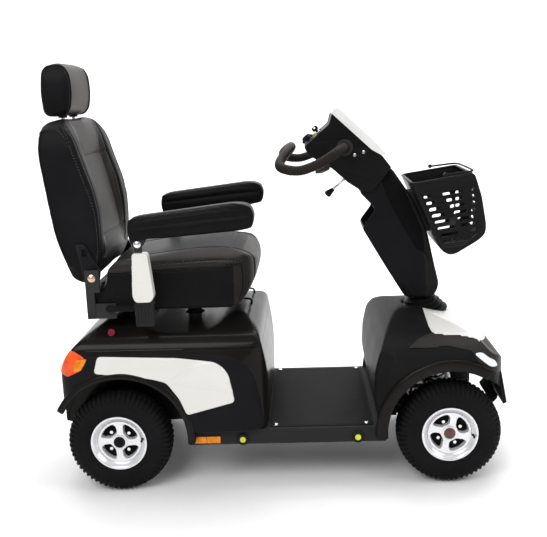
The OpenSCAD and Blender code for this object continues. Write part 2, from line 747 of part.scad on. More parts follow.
module headrest() color([0.13, 0.13, 0.13])
    side_plate([[-716, 1192], [-720, 1250], [-716, 1310], [-700, 1334], [-672, 1340], [-648, 1330],
        [-634, 1300], [-632, 1250], [-640, 1205], [-660, 1186], [-700, 1184]], -128, 128);

module headrest_posts() color("silver")
    both_sides() translate([headrest_post_x, 60, 1065]) cylinder(r = 6 - fit, h = 120);

module arm_sockets() color([0.22, 0.22, 0.22])
    both_sides() {
        translate([-430, 290, 549]) cube([46, 34, 74]);
        for (x = [-434, -383]) translate([x, 294, 556]) cube([4, 26, 62]);
        translate([-422, 254, 556]) cube([34, 36, 17]);
    }

// white covers over the armrest uprights
module arm_posts() color([0.95, 0.95, 0.93])
    both_sides() difference() {
        union() {
            side_plate([[-437, 640], [-431, 624], [-385, 623], [-373, 641], [-386, 762], [-430, 762]], 291, 325);
            side_plate([[-425, 762], [-404, 762], [-404, 801], [-425, 801]], 304, 312);
            y_rod(arm_pivot.x, arm_pivot.y, 10.5, 304, 312);
        }
        y_rod(arm_pivot.x, arm_pivot.y, 6, 280, 340);
    }

// padded armrest on its steel fork; side is -1 on the rider's right
// padded armrest with a slot at its rear end for the post's lug
module arm_pad(side) color([0.1, 0.1, 0.1]) {
    lug_y = side * 308;
    near = min(side * arm_y[0], side * arm_y[1]);
    far = max(side * arm_y[0], side * arm_y[1]);
    difference() {
        side_plate([[-436, 806], [-442, 842], [-438, 876], [-98, 914], [-74, 904], [-64, 876], [-72, 840],
            [-376, 817]], near, far);
        translate([-460, lug_y - 5.5, 780]) cube([76, 11, 50]);
    }
    y_rod(arm_pivot.x, arm_pivot.y, 6 - fit, lug_y - 11, lug_y + 11);
    for (s = [-1, 1]) y_rod(arm_pivot.x, arm_pivot.y, 11, lug_y + s * 8 - 3, lug_y + s * 8 + 3);
}
module arm_pad_l() arm_pad(1);
module arm_pad_r() arm_pad(-1);

module recline_lever() color([0.1, 0.1, 0.1]) {
    y_rod(-530, 590, 6, -262, -247);
    translate([-532, -262, 582]) cube([84, 8, 14]);
}

// wire bar under the seat's front edge that frees the slide rails
module slide_bar() color([0.08, 0.08, 0.08]) {
    swept_bar(smooth_path([[-170, -72, 566], [-130, -72, 566], [-106, -72, 564], [-100, -72, 556],
        [-100, -72, 550], [-102, -64, 546], [-102, -30, 545], [-102, 30, 545], [-102, 64, 546],
        [-100, 72, 550], [-100, 72, 556], [-106, 72, 564], [-130, 72, 566], [-170, 72, 566]], 3), 3.5, 8);
    both_sides() y_rod(-170, 566, 4.2, 69, 76);
}

chassis_frame();
floor_pan();
floor_mat();
rear_shroud();
rear_body();
rear_panels();
rear_lights();
side_reflectors();
tie_downs();
batteries();
freewheel_lever();
front_body();
front_hood();
front_cowl();
headlights();
bellows();
steering_column();
tiller_spine();
tiller_cover();
head_base();
head_cover();
speed_knob();
ignition_key();
horn_button();
indicator_rocker();
handlebar();
throttle_lever();
tilt_lever();
basket_bracket();
basket();
basket_handle();
tyre_fl();
tyre_fr();
tyre_rl();
tyre_rr();
rim_fl();
rim_fr();
rim_rl();
rim_rr();
rear_axle();
rear_springs();
front_axle();
knuckle_l();
knuckle_r();
tie_rod();
front_springs();
seat_post();
swivel_base();
seat_frame();
seat_cushion();
backrest_plates();
backrest();
headrest();
headrest_posts();
arm_sockets();
arm_posts();
arm_pad_l();
arm_pad_r();
recline_lever();
slide_bar();
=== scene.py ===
"""Looks of a four-wheel mobility scooter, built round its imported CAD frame. Lengths are in metres.

X runs forward, Y to the rider's left and Z up. Outlines are lists of (x, z) points in millimetres."""

import json
import math

import bmesh
import bpy
import numpy as np
from mathutils import Matrix, Vector
from mathutils.bvhtree import BVHTree
from mathutils.kdtree import KDTree


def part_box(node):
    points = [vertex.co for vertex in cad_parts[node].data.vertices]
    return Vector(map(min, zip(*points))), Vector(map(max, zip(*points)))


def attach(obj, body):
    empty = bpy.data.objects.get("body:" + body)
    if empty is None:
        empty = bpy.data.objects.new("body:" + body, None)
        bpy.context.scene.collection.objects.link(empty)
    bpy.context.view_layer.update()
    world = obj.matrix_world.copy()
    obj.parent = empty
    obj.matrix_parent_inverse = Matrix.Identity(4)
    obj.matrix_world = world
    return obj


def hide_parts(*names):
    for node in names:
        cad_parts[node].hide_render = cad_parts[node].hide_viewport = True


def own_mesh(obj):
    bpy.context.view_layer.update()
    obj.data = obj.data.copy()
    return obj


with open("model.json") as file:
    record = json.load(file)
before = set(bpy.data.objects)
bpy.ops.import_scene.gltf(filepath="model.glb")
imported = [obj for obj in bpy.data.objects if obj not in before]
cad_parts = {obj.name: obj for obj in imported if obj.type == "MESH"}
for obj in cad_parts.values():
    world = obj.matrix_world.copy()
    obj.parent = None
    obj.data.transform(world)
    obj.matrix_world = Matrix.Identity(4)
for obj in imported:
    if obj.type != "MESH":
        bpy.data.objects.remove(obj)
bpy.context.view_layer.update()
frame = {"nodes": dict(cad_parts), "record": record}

MM = 0.001
SIDES = (-1, 1)
REACH = 340  # half width in mm of a tool that passes right through the body


# ---------------------------------------------------------------- mesh tools

def new_object(name, vertices, faces):
    mesh = bpy.data.meshes.new(name)
    mesh.from_pydata([tuple(v) for v in vertices], [], faces)
    obj = bpy.data.objects.new(name, mesh)
    bpy.context.scene.collection.objects.link(obj)
    return obj


def outward(obj):
    work = bmesh.new()
    work.from_mesh(obj.data)
    bmesh.ops.recalc_face_normals(work, faces=work.faces)
    work.to_mesh(obj.data)
    work.free()
    return obj


def rounded(outline, radius, steps=4):
    """The outline, in mm, with each corner turned into a short curve."""
    points = [Vector(p) for p in outline]
    result = []
    for i, corner in enumerate(points):
        before, after = points[i - 1] - corner, points[(i + 1) % len(points)] - corner
        start = corner + before.normalized() * min(radius, before.length * 0.45)
        end = corner + after.normalized() * min(radius, after.length * 0.45)
        for k in range(steps + 1):
            t = k / steps
            result.append(start * (1 - t) ** 2 + corner * 2 * t * (1 - t) + end * t * t)
    return result


def smooth_path(points, per_span=8, closed=False):
    """A Catmull-Rom curve through the points, of any dimension."""
    p = np.array(points, float)
    count = len(p)
    spans = count if closed else count - 1
    result = []
    for i in range(spans):
        if closed:
            a, b, c, d = (p[(i + k) % count] for k in (-1, 0, 1, 2))
        else:
            a, b, c, d = p[max(i - 1, 0)], p[i], p[i + 1], p[min(i + 2, count - 1)]
        for k in range(per_span):
            t = k / per_span
            result.append(0.5 * (2 * b + (c - a) * t + (2 * a - 5 * b + 4 * c - d) * t * t
                                 + (3 * b - a - 3 * c + d) * t ** 3))
    if not closed:
        result.append(p[-1])
    return np.array(result)


AXES = {"y": lambda a, b, t: (a, t, b), "z": lambda a, b, t: (a, b, t), "x": lambda a, b, t: (t, a, b)}


def prism(outline, axis, low, high, name="prism"):
    """A solid of that outline, in mm, from low to high along the axis."""
    place = AXES[axis]
    count = len(outline)
    vertices = [Vector(place(p[0], p[1], t)) * MM for t in (low, high) for p in outline]
    sides = [(i, (i + 1) % count, count + (i + 1) % count, count + i) for i in range(count)]
    caps = [tuple(reversed(range(count))), tuple(range(count, 2 * count))]
    return outward(new_object(name, vertices, sides + caps))


def loft(rings, name="loft", closed=False):
    """A solid through rings of points that all have the same count."""
    count = len(rings[0])
    vertices = [Vector(p) for ring in rings for p in ring]
    spans = len(rings) if closed else len(rings) - 1
    faces = []
    for j in range(spans):
        here, there = j * count, ((j + 1) % len(rings)) * count
        faces += [(here + i, here + (i + 1) % count, there + (i + 1) % count, there + i) for i
                  in range(count)]
    if not closed:
        faces += [tuple(reversed(range(count))), tuple(range(len(vertices) - count, len(vertices)))]
    return outward(new_object(name, vertices, faces))


def applied(obj):
    graph = bpy.context.evaluated_depsgraph_get()
    mesh = bpy.data.meshes.new_from_object(obj.evaluated_get(graph))
    obj.modifiers.clear()
    obj.data = mesh
    return obj


def modify(obj, kind, **settings):
    modifier = obj.modifiers.new(kind, kind)
    for key, value in settings.items():
        setattr(modifier, key, value)
    return applied(obj)


def bevelled(obj, width, segments=2, **more):
    return modify(obj, "BEVEL", width=width * MM, segments=segments, limit_method="ANGLE", **more)


def combine(obj, tool, operation):
    modify(obj, "BOOLEAN", object=tool, operation=operation, solver="MANIFOLD")
    bpy.data.objects.remove(tool)
    return obj


def cut(obj, *tools):
    for tool in tools:
        combine(obj, tool, "DIFFERENCE")
    return obj


def common(*solids):
    for tool in solids[1:]:
        combine(solids[0], tool, "INTERSECT")
    return solids[0]


def soften(obj, voxel, rounds):
    """Rebuilds the surface with even faces and rounds its edges."""
    modify(obj, "REMESH", mode="VOXEL", voxel_size=voxel * MM)
    return modify(obj, "SMOOTH", factor=0.5, iterations=rounds)


def join(name, *objects):
    work = bmesh.new()
    for obj in objects:
        obj.data.transform(obj.matrix_world)
        work.from_mesh(obj.data)
        bpy.data.objects.remove(obj)
    mesh = bpy.data.meshes.new(name)
    work.to_mesh(mesh)
    work.free()
    result = bpy.data.objects.new(name, mesh)
    bpy.context.scene.collection.objects.link(result)
    return result


def mirrored(obj, name):
    """A copy on the other side of the scooter."""
    mesh = obj.data.copy()
    mesh.transform(Matrix.Diagonal((1, -1, 1, 1)))
    mesh.flip_normals()
    copy = bpy.data.objects.new(name, mesh)
    bpy.context.scene.collection.objects.link(copy)
    return copy


def both(obj):
    return join(obj.name, obj, mirrored(obj, "copy"))


def cylinder(centre, axis, radius, length, sides=32, bevel=0.0):
    """A turned pin from centre along axis. All sizes are in mm."""
    profile = [(0, 0), (radius - bevel, 0), (radius, bevel), (radius, length - bevel),
               (radius - bevel, length), (0, length)]
    return turned(profile, centre, axis, sides, "cylinder")


def turned(profile, centre, axis, sides=48, name="turned"):
    """Turns a profile of (radius, height) points in mm about the axis through centre."""
    spin = Vector(axis).normalized().to_track_quat("Z", "Y").to_matrix()
    rows = []
    for radius, height in profile:
        if radius < 1e-6:
            rows.append([Vector((0, 0, height))])
        else:
            rows.append([Vector((radius * math.cos(a), radius * math.sin(a), height))
                         for a in (2 * math.pi * k / sides for k in range(sides))])
    vertices, starts = [], []
    for row in rows:
        starts.append(len(vertices))
        vertices += [(spin @ v + Vector(centre)) * MM for v in row]
    faces = []
    for j in range(len(rows) - 1):
        a, b = starts[j], starts[j + 1]
        for k in range(sides):
            n = (k + 1) % sides
            if len(rows[j]) == 1:
                faces.append((a, b + k, b + n))
            elif len(rows[j + 1]) == 1:
                faces.append((a + k, b, a + n))
            else:
                faces.append((a + k, b + k, b + n, a + n))
    return outward(new_object(name, vertices, faces))


def tube(path, radius, sides=12, name="tube", closed=False):
    """A bar of that radius in mm along a path in mm; radius can be a list, one for each point."""
    points = [Vector(p) for p in path]
    count = len(points)
    radii = radius if hasattr(radius, "__len__") else [radius] * count
    tangents = []
    for i in range(count):
        ahead = points[(i + 1) % count] if closed else points[min(i + 1, count - 1)]
        behind = points[i - 1] if closed else points[max(i - 1, 0)]
        tangents.append((ahead - behind).normalized())
    side = tangents[0].orthogonal().normalized()
    rings = []
    for point, tangent, r in zip(points, tangents, radii):
        side = (side - tangent * side.dot(tangent)).normalized()
        up = tangent.cross(side)
        rings.append([(point + (side * math.cos(a) + up * math.sin(a)) * r) * MM
                      for a in (2 * math.pi * k / sides for k in range(sides))])
    return loft(rings, name, closed)


def vertex_array(obj):
    co = np.zeros(len(obj.data.vertices) * 3)
    obj.data.vertices.foreach_get("co", co)
    return co.reshape(-1, 3)


def set_vertices(obj, co):
    obj.data.vertices.foreach_set("co", co.astype(np.float32).ravel())
    obj.data.update()


def normal_array(obj):
    normals = np.zeros(len(obj.data.vertices) * 3)
    obj.data.vertex_normals.foreach_get("vector", normals)
    return normals.reshape(-1, 3)


def distances(co, path):
    """How far in mm each place in co, in metres, is from the nearest point of a path in mm."""
    tree = KDTree(len(path))
    for i, p in enumerate(path):
        tree.insert(Vector(p) * MM, i)
    tree.balance()
    return np.array([tree.find(v)[2] for v in co]) / MM


def crease(obj, path, width, height):
    """Raises (or with a negative height presses in) the surface along a path in mm."""
    co, normals = vertex_array(obj), normal_array(obj)
    co += normals * (np.exp(-(distances(co, path) / width) ** 2) * height * MM)[:, None]
    set_vertices(obj, co)
    return obj


def laid_on(obj, path, lift=0.0):
    """The points of a path in mm moved to the nearest place on the surface of obj, each with its normal."""
    work = bmesh.new()
    work.from_mesh(obj.data)
    tree = BVHTree.FromBMesh(work)
    work.free()
    result = []
    for p in path:
        hit, normal, _, _ = tree.find_nearest(Vector(p) * MM)
        result.append(((hit + normal * lift * MM) / MM, normal))
    return result


def creased(obj, path, per_span, width, height):
    """Creases obj along a smooth path that is first moved on to its surface."""
    return crease(obj, [p for p, _ in laid_on(obj, smooth_path(path, per_span))], width, height)


THREAD_PITCH, THREAD_LENGTH, THREAD_R = 7.0, 4.5, 0.6


def seam(name, obj, path, body, depth=2.2, offsets=(0.0,)):
    """Presses a seam into obj along a path and lays rows of thread beside it."""
    creased(obj, path, 16, 5, -depth)
    dense = smooth_path(path, 16)
    rows = [stitches(obj, dense + np.array((0, 0, offset))) for offset in offsets]
    return finish(join(name, *rows), body, "leather_black", material=THREAD)


def stitches(obj, dense):
    """A row of thread stitches along a path on the surface of obj."""
    laid = laid_on(obj, dense, lift=0.3)
    pieces, travelled, due = [], 0.0, 0.0
    for (a, normal), (b, _) in zip(laid, laid[1:]):
        gap = (b - a).length
        travelled += gap
        if travelled >= due and gap > 1e-6:
            pieces.append(stitch(a, (b - a).normalized(), normal))
            due = travelled + THREAD_PITCH
    return join("row", *pieces)


def stitch(place, along, normal):
    side = along.cross(normal).normalized()
    rings = []
    for t, r in ((0.0, 0.35), (0.2, 1.0), (0.8, 1.0), (1.0, 0.35)):
        middle = place + along * (t - 0.5) * THREAD_LENGTH + normal * (0.15 - abs(t - 0.5)) * THREAD_R
        rings.append([(middle + (side * math.cos(a) + normal * math.sin(a)) * THREAD_R * r) * MM
                      for a in (math.pi * k / 3 for k in range(6))])
    return loft(rings, "stitch")


def piping(obj, path, closed=False):
    laid = laid_on(obj, smooth_path(path, 8, closed), lift=0.8)
    return tube([p for p, _ in laid], 2.8, 10, "piping", closed)


def paint(obj, material, test):
    """Gives the faces of obj that pass test(centre in mm, normal) another material."""
    obj.data.materials.append(material)
    last = len(obj.data.materials) - 1
    for polygon in obj.data.polygons:
        if test(polygon.center / MM, polygon.normal):
            polygon.material_index = last
    return obj


def copied(obj, name):
    copy = obj.copy()
    copy.data = obj.data.copy()
    copy.name = name
    bpy.context.scene.collection.objects.link(copy)
    return copy


def finish(obj, body, slot, *nodes, material=None, name=None, flat_angle=None):
    """Names a piece, gives it its material and its body, and hides the CAD nodes it stands for."""
    if name:
        obj.name = name
    obj.data.materials.clear()
    obj.data.materials.append(material or MATERIALS[slot])
    obj.data.shade_smooth()
    if flat_angle is not None:
        obj.data.set_sharp_from_angle(angle=math.radians(flat_angle))
    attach(obj, body)
    if nodes:
        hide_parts(*nodes)
    return obj


# ---------------------------------------------------------------- materials

def surface(name, colour, rough, metallic=0.0, grain=800.0, bump=0.2, depth=0.0003, mottle=0.15,
            stretch=(1, 1, 1), wear=0.0, coat=0.0, cells=False, shine=0.5, blend=7.0):
    """A procedural material: mottled colour, uneven gloss, a fine relief and paler worn edges."""
    material = bpy.data.materials.new(name)
    material.use_nodes = True
    nodes, links = material.node_tree.nodes, material.node_tree.links
    shader = nodes["Principled BSDF"]
    shader.inputs["Metallic"].default_value = metallic
    shader.inputs["Specular IOR Level"].default_value = min(shine, 0.05) if max(colour) < 0.05 else shine
    shader.inputs["Coat Weight"].default_value = coat
    shader.inputs["Coat Roughness"].default_value = 0.12
    where = nodes.new("ShaderNodeTexCoord").outputs["Object"]
    mapping = nodes.new("ShaderNodeMapping")
    mapping.inputs["Scale"].default_value = stretch
    links.new(where, mapping.inputs["Vector"])

    broad = nodes.new("ShaderNodeTexNoise")
    broad.inputs["Scale"].default_value = blend
    broad.inputs["Detail"].default_value = 5.0
    links.new(mapping.outputs["Vector"], broad.inputs["Vector"])
    ramp = nodes.new("ShaderNodeValToRGB")
    ramp.color_ramp.elements[0].position = 0.3
    ramp.color_ramp.elements[1].position = 0.7
    ramp.color_ramp.elements[0].color = (*(c * (1 - mottle) for c in colour), 1)
    ramp.color_ramp.elements[1].color = (*(min(1.0, c * (1 + mottle)) for c in colour), 1)
    links.new(broad.outputs["Fac"], ramp.inputs["Fac"])
    base = ramp.outputs["Color"]
    if wear > 0:
        edge = nodes.new("ShaderNodeValToRGB")
        edge.color_ramp.elements[0].position = 0.52
        edge.color_ramp.elements[1].position = 0.62
        edge.color_ramp.elements[1].color = (wear, wear, wear, 1)
        links.new(nodes.new("ShaderNodeNewGeometry").outputs["Pointiness"], edge.inputs["Fac"])
        worn = nodes.new("ShaderNodeMix")
        worn.data_type = "RGBA"
        worn.inputs[7].default_value = (*(min(1.0, c * 1.6 + 0.05) for c in colour), 1)
        links.new(edge.outputs["Color"], worn.inputs[0])
        links.new(base, worn.inputs[6])
        base = worn.outputs[2]
    links.new(base, shader.inputs["Base Color"])

    fine = nodes.new("ShaderNodeTexVoronoi" if cells else "ShaderNodeTexNoise")
    fine.inputs["Scale"].default_value = grain
    if cells:
        fine.feature = "SMOOTH_F1"
    else:
        fine.inputs["Detail"].default_value = 3.0
    links.new(mapping.outputs["Vector"], fine.inputs["Vector"])
    relief = fine.outputs["Distance"] if cells else fine.outputs["Fac"]
    gloss = nodes.new("ShaderNodeMapRange")
    gloss.inputs["To Min"].default_value = max(0.02, rough - 0.07)
    gloss.inputs["To Max"].default_value = min(1.0, rough + 0.09)
    links.new(broad.outputs["Fac"], gloss.inputs["Value"])
    links.new(gloss.outputs["Result"], shader.inputs["Roughness"])
    raised = nodes.new("ShaderNodeBump")
    raised.inputs["Strength"].default_value = bump
    raised.inputs["Distance"].default_value = depth
    links.new(relief, raised.inputs["Height"])
    links.new(raised.outputs["Normal"], shader.inputs["Normal"])
    return material


LOOKS = {
    "frame_steel": ((0.0101, 0.0101, 0.0113), 0.42, dict(grain=1600, bump=0.25, wear=0.5)),
    "axle_steel": ((0.0126, 0.0126, 0.0139), 0.5, dict(metallic=0.3, grain=900, bump=0.4, wear=0.6)),
    "bright_steel": ((0.62, 0.62, 0.64), 0.22, dict(metallic=1.0, grain=1400, bump=0.12, stretch=(1, 1, 8))),
    "spring_steel": ((0.35, 0.35, 0.37), 0.3, dict(metallic=0.9, grain=1200, bump=0.2, mottle=0.3)),
    "floor_plastic": ((0.0088, 0.0088, 0.0094), 0.45, dict(grain=1500, bump=0.35, wear=0.25)),
    "mat_rubber": ((0.0139, 0.0133, 0.0133), 0.55, dict(grain=1100, bump=0.5, depth=0.0004, wear=0.3)),
    "gloss_black": ((0.0083, 0.0073, 0.0066), 0.3, dict(grain=260, bump=0.05, coat=0.12, mottle=0.2)),
    "body_charcoal": ((0.0088, 0.0085, 0.0098), 0.5, dict(grain=1300, bump=0.3, wear=0.15, cells=True)),
    "white_panel": ((0.71, 0.7, 0.675), 0.3, dict(grain=500, bump=0.06, mottle=0.02, coat=0.35)),
    "trim_grey": ((0.0284, 0.0265, 0.0252), 0.38, dict(grain=1200, bump=0.2, mottle=0.18, wear=0.2)),
    "lamp_clear": ((0.82, 0.83, 0.85), 0.12, dict(grain=300, bump=0.4, depth=0.0008, coat=1.0, mottle=0.06)),
    "lamp_red": ((0.8, 0.085, 0.012), 0.3,
                 dict(grain=420, bump=0.4, cells=True, shine=0.2, mottle=0.35, blend=30)),
    "reflector_amber": ((0.85, 0.25, 0.01), 0.3,
                        dict(grain=420, bump=0.7, depth=0.0006, cells=True, shine=0.25, mottle=0.3,
                             blend=40)),
    "tie_down": ((0.62, 0.66, 0.03), 0.35, dict(grain=900, bump=0.2, mottle=0.2)),
    "battery_case": ((0.0126, 0.0126, 0.0139), 0.55, dict(grain=900, bump=0.3)),
    "red_knob": ((0.16, 0.002, 0.012), 0.4, dict(shine=0.1, grain=700, bump=0.2, wear=0.3)),
    "bellows_rubber": ((0.0069, 0.0069, 0.0076), 0.42, dict(grain=1000, bump=0.3, wear=0.25)),
    "tiller_black": ((0.0083, 0.0078, 0.0091), 0.38, dict(grain=1400, bump=0.22, wear=0.1, cells=True)),
    "head_black": ((0.0076, 0.0076, 0.0083), 0.42, dict(grain=1400, bump=0.28, wear=0.2, cells=True)),
    "head_white": ((0.76, 0.755, 0.74), 0.28, dict(grain=500, bump=0.06, mottle=0.02, coat=0.3)),
    "control_black": ((0.0076, 0.0076, 0.0076), 0.4, dict(grain=1200, bump=0.25, wear=0.35)),
    "horn_yellow": ((0.72, 0.5, 0.02), 0.35, dict(grain=900, bump=0.15)),
    "grip_rubber": ((0.0164, 0.0139, 0.0126), 0.5, dict(grain=700, bump=0.55, depth=0.0005, wear=0.2)),
    "basket_plastic": ((0.0088, 0.0088, 0.0091), 0.36, dict(grain=1300, bump=0.3, wear=0.35, cells=True)),
    "tyre": ((0.0078, 0.0078, 0.0085), 0.6, dict(grain=900, bump=0.45, depth=0.0004, mottle=0.25, wear=0.2)),
    "alloy": ((0.78, 0.78, 0.8), 0.27, dict(metallic=0.55, grain=900, bump=0.1, mottle=0.05)),
    "leather_black": ((0.0078, 0.0076, 0.0085), 0.4,
                      dict(grain=620, bump=0.5, depth=0.0005, mottle=0.25, cells=True, wear=0.12)),
    "pad_black": ((0.0069, 0.0069, 0.007), 0.42,
                  dict(grain=700, bump=0.45, depth=0.0004, cells=True, wear=0.12)),
    "socket_grey": ((0.0202, 0.0196, 0.0209), 0.5, dict(grain=1200, bump=0.3, wear=0.2)),
}
MATERIALS = {name: surface(name, colour, rough, **more) for name, (colour, rough, more) in LOOKS.items()}
# Lighter taupe copy of the black leather: a painted highlight for the lit front face of the headrest.
HEADREST_PAINTED_HIGHLIGHT = surface("headrest_painted_highlight", (0.042, 0.0378, 0.0343), 0.38, grain=620, bump=0.5, depth=0.0005,
                        mottle=0.2, cells=True)
# Lighter copy of the black leather: a painted highlight for the lit faces of the cushion bands, cushion nose
# and backrest front.
LEATHER_PAINTED_HIGHLIGHT = surface("leather_painted_highlight", (0.0227, 0.0202, 0.0189), 0.36, grain=620, bump=0.5, depth=0.0005,
                        mottle=0.25, cells=True)
THREAD = surface("thread", (0.06, 0.057, 0.054), 0.7, grain=3000, bump=0.5)
DARK_INSIDE = surface("dark_inside", (0.0038, 0.0038, 0.0041), 0.6, grain=800, bump=0.3)
HUB_BROWN = surface("hub_brown", (0.1, 0.035, 0.03), 0.4, grain=900, bump=0.2, mottle=0.4, blend=60)
CHROME = surface("chrome", (0.75, 0.75, 0.76), 0.12, metallic=1.0, grain=900, bump=0.05, mottle=0.08)
COPPER = surface("copper", (0.72, 0.5, 0.38), 0.25, metallic=0.9, grain=900, bump=0.1, mottle=0.2, blend=80)


# ---------------------------------------------------------------- camera, floor and light

CAMERA_PLACE = (0.0878, -2.6653, 1.2211)
CAMERA_PITCH, CAMERA_YAW, CAMERA_ROLL = (math.radians(a) for a in (12.146, -1.334, -1.799))
CAMERA_LENS = 53.23
CAMERA_SHIFT = -0.0288


def make_camera():
    camera = bpy.data.objects.new("camera", bpy.data.cameras.new("camera"))
    bpy.context.scene.collection.objects.link(camera)
    forward = Vector((math.sin(CAMERA_YAW) * math.cos(CAMERA_PITCH),
                      math.cos(CAMERA_YAW) * math.cos(CAMERA_PITCH), -math.sin(CAMERA_PITCH)))
    level = Vector((math.cos(CAMERA_YAW), -math.sin(CAMERA_YAW), 0))
    upright = level.cross(forward)
    right = level * math.cos(CAMERA_ROLL) + upright * math.sin(CAMERA_ROLL)
    up = upright * math.cos(CAMERA_ROLL) - level * math.sin(CAMERA_ROLL)
    turn = Matrix((right, up, -forward)).transposed().to_4x4()
    camera.matrix_world = Matrix.Translation(CAMERA_PLACE) @ turn
    camera.data.lens = CAMERA_LENS
    camera.data.shift_x = CAMERA_SHIFT
    camera.data.clip_end = 60
    bpy.context.scene.camera = camera


def area_light(name, place, target, size, power):
    light = bpy.data.objects.new(name, bpy.data.lights.new(name, "AREA"))
    light.data.shape = "RECTANGLE"
    light.data.size, light.data.size_y = size
    light.data.energy = power
    light.location = place
    light.rotation_euler = (Vector(target) - Vector(place)).to_track_quat("-Z", "Y").to_euler()
    bpy.context.scene.collection.objects.link(light)


def make_studio():
    half, back, height, bend = 9.0, 4.5, 6.0, 1.2
    profile = [(-9.0, 0.0), (back - bend, 0.0)]
    profile += [(back - bend + bend * math.sin(a), bend - bend * math.cos(a))
                for a in (math.pi / 2 * k / 12 for k in range(1, 13))]
    profile.append((back, height))
    vertices = [(x, y, z) for y, z in profile for x in (-half, half)]
    faces = [(2 * i, 2 * i + 1, 2 * i + 3, 2 * i + 2) for i in range(len(profile) - 1)]
    sweep = new_object("floor", vertices, faces)
    sweep.data.materials.append(surface("floor", (0.93, 0.93, 0.93), 0.75, grain=60, bump=0.02, mottle=0.01))
    sweep.data.shade_smooth()
    world = bpy.data.worlds.new("studio")
    world.use_nodes = True
    world.node_tree.nodes["Background"].inputs["Color"].default_value = (1, 1, 1, 1)
    world.node_tree.nodes["Background"].inputs["Strength"].default_value = 0.4
    bpy.context.scene.world = world
    area_light("key", (-1.6, -3.2, 3.4), (0, 0, 0.6), (2.6, 2.0), 95)
    area_light("front", (3.0, -1.6, 2.2), (0.1, 0, 0.6), (1.6, 2.2), 38)
    area_light("top", (0.2, 0.6, 3.8), (0, 0.1, 0.4), (3.4, 2.4), 90)
    area_light("backdrop_wash", (0, 1.6, 4.2), (0, 4.5, 1.2), (6.0, 1.5), 230)
    bpy.context.scene.view_settings.view_transform = "Standard"


# ---------------------------------------------------------------- wheels

WHEELS = {"rl": 1, "rr": -1, "fl": 1, "fr": -1}
TYRE_PROFILE = [(82, 42), (90, 43.4), (100, 48.5), (112, 52.2), (124, 53), (138, 51.5), (150, 46.5),
                (158, 38), (163, 25), (165, 10)]
SHOULDER_END = 62.0
TYRE_STEPS, LUGS = 540, 60
TREAD_DEPTH = 5.0


def step(low, high, value):
    t = np.clip((value - low) / (high - low), 0, 1)
    return t * t * (3 - 2 * t)


def groove(distance, width):
    return 1 - step(width * 0.5, width, np.abs(distance))


def tread(turn, across):
    """Groove share over the tyre: 1 in a groove and 0 on a block. turn counts lugs, across is in mm."""
    wave = np.abs((turn % 1) * 2 - 1) - 0.5
    away = np.abs(across)
    side = np.sign(across)
    ribs = np.maximum(groove(away - 9 - 5 * wave, 4.0), groove(away - 27 - 5 * wave, 4.0))
    slant = (turn + side * across * 0.02) % 1 - 0.5
    cross = groove(slant * 17, 4.2) * step(9, 12, away) * (1 - step(26, 30, away))
    lug = groove(((turn + 0.5) % 1 - 0.5) * 17, 6.0) * step(27, 31, away)
    long_lug = groove(((turn * 0.5) % 1 - 0.5) * 34, 7.0) * step(SHOULDER_END - 12, SHOULDER_END - 6, away)
    fade = 1 - step(SHOULDER_END - 8, SHOULDER_END + 6, away)
    centre = groove(across + 3 * wave, 2.4) * 0.5
    return np.maximum(np.maximum(ribs, cross) * (away < 40), np.maximum(np.maximum(lug, long_lug) * fade,
                                                                        centre))


def tyre_mesh():
    half = smooth_path(TYRE_PROFILE, 4)
    profile = np.array([(r, -y) for r, y in half] + [(r, y) for r, y in half[::-1]])
    runs = np.concatenate([[0], np.cumsum(np.hypot(*np.diff(profile, axis=0).T))])
    across_at = np.linspace(0, runs[-1], 80)
    radius = np.interp(across_at, runs, profile[:, 0])
    width = np.interp(across_at, runs, profile[:, 1])
    along = np.gradient(np.stack([radius, width], 1), axis=0)
    normal = np.stack([along[:, 1], -along[:, 0]], 1) / np.linalg.norm(along, axis=1)[:, None]
    across = across_at - runs[-1] / 2
    angle = np.linspace(0, 2 * math.pi, TYRE_STEPS, endpoint=False)
    a, s = np.meshgrid(angle, across, indexing="ij")
    depth = tread(a * LUGS / (2 * math.pi), s) * TREAD_DEPTH
    ring = groove(np.abs(s) - 84, 2.0) * 0.7 - groove(np.abs(s) - 96, 3.0) * 0.7
    depth = depth + ring
    r = radius[None, :] - normal[None, :, 0] * depth
    y = width[None, :] - normal[None, :, 1] * depth
    rings = np.stack([r * np.cos(a), y, r * np.sin(a)], 2) * MM
    inner = np.array([[(80 * math.cos(t) * MM, y0 * MM, 80 * math.sin(t) * MM) for y0 in (42, -42)] for t
                      in angle])
    return loft(np.concatenate([rings, inner], 1), "tyre", closed=True)


POCKET_INNER, POCKET_OUTER, SPOKE_HALF = 27.0, 61.0, 10.5
NUT_AT = 39.0


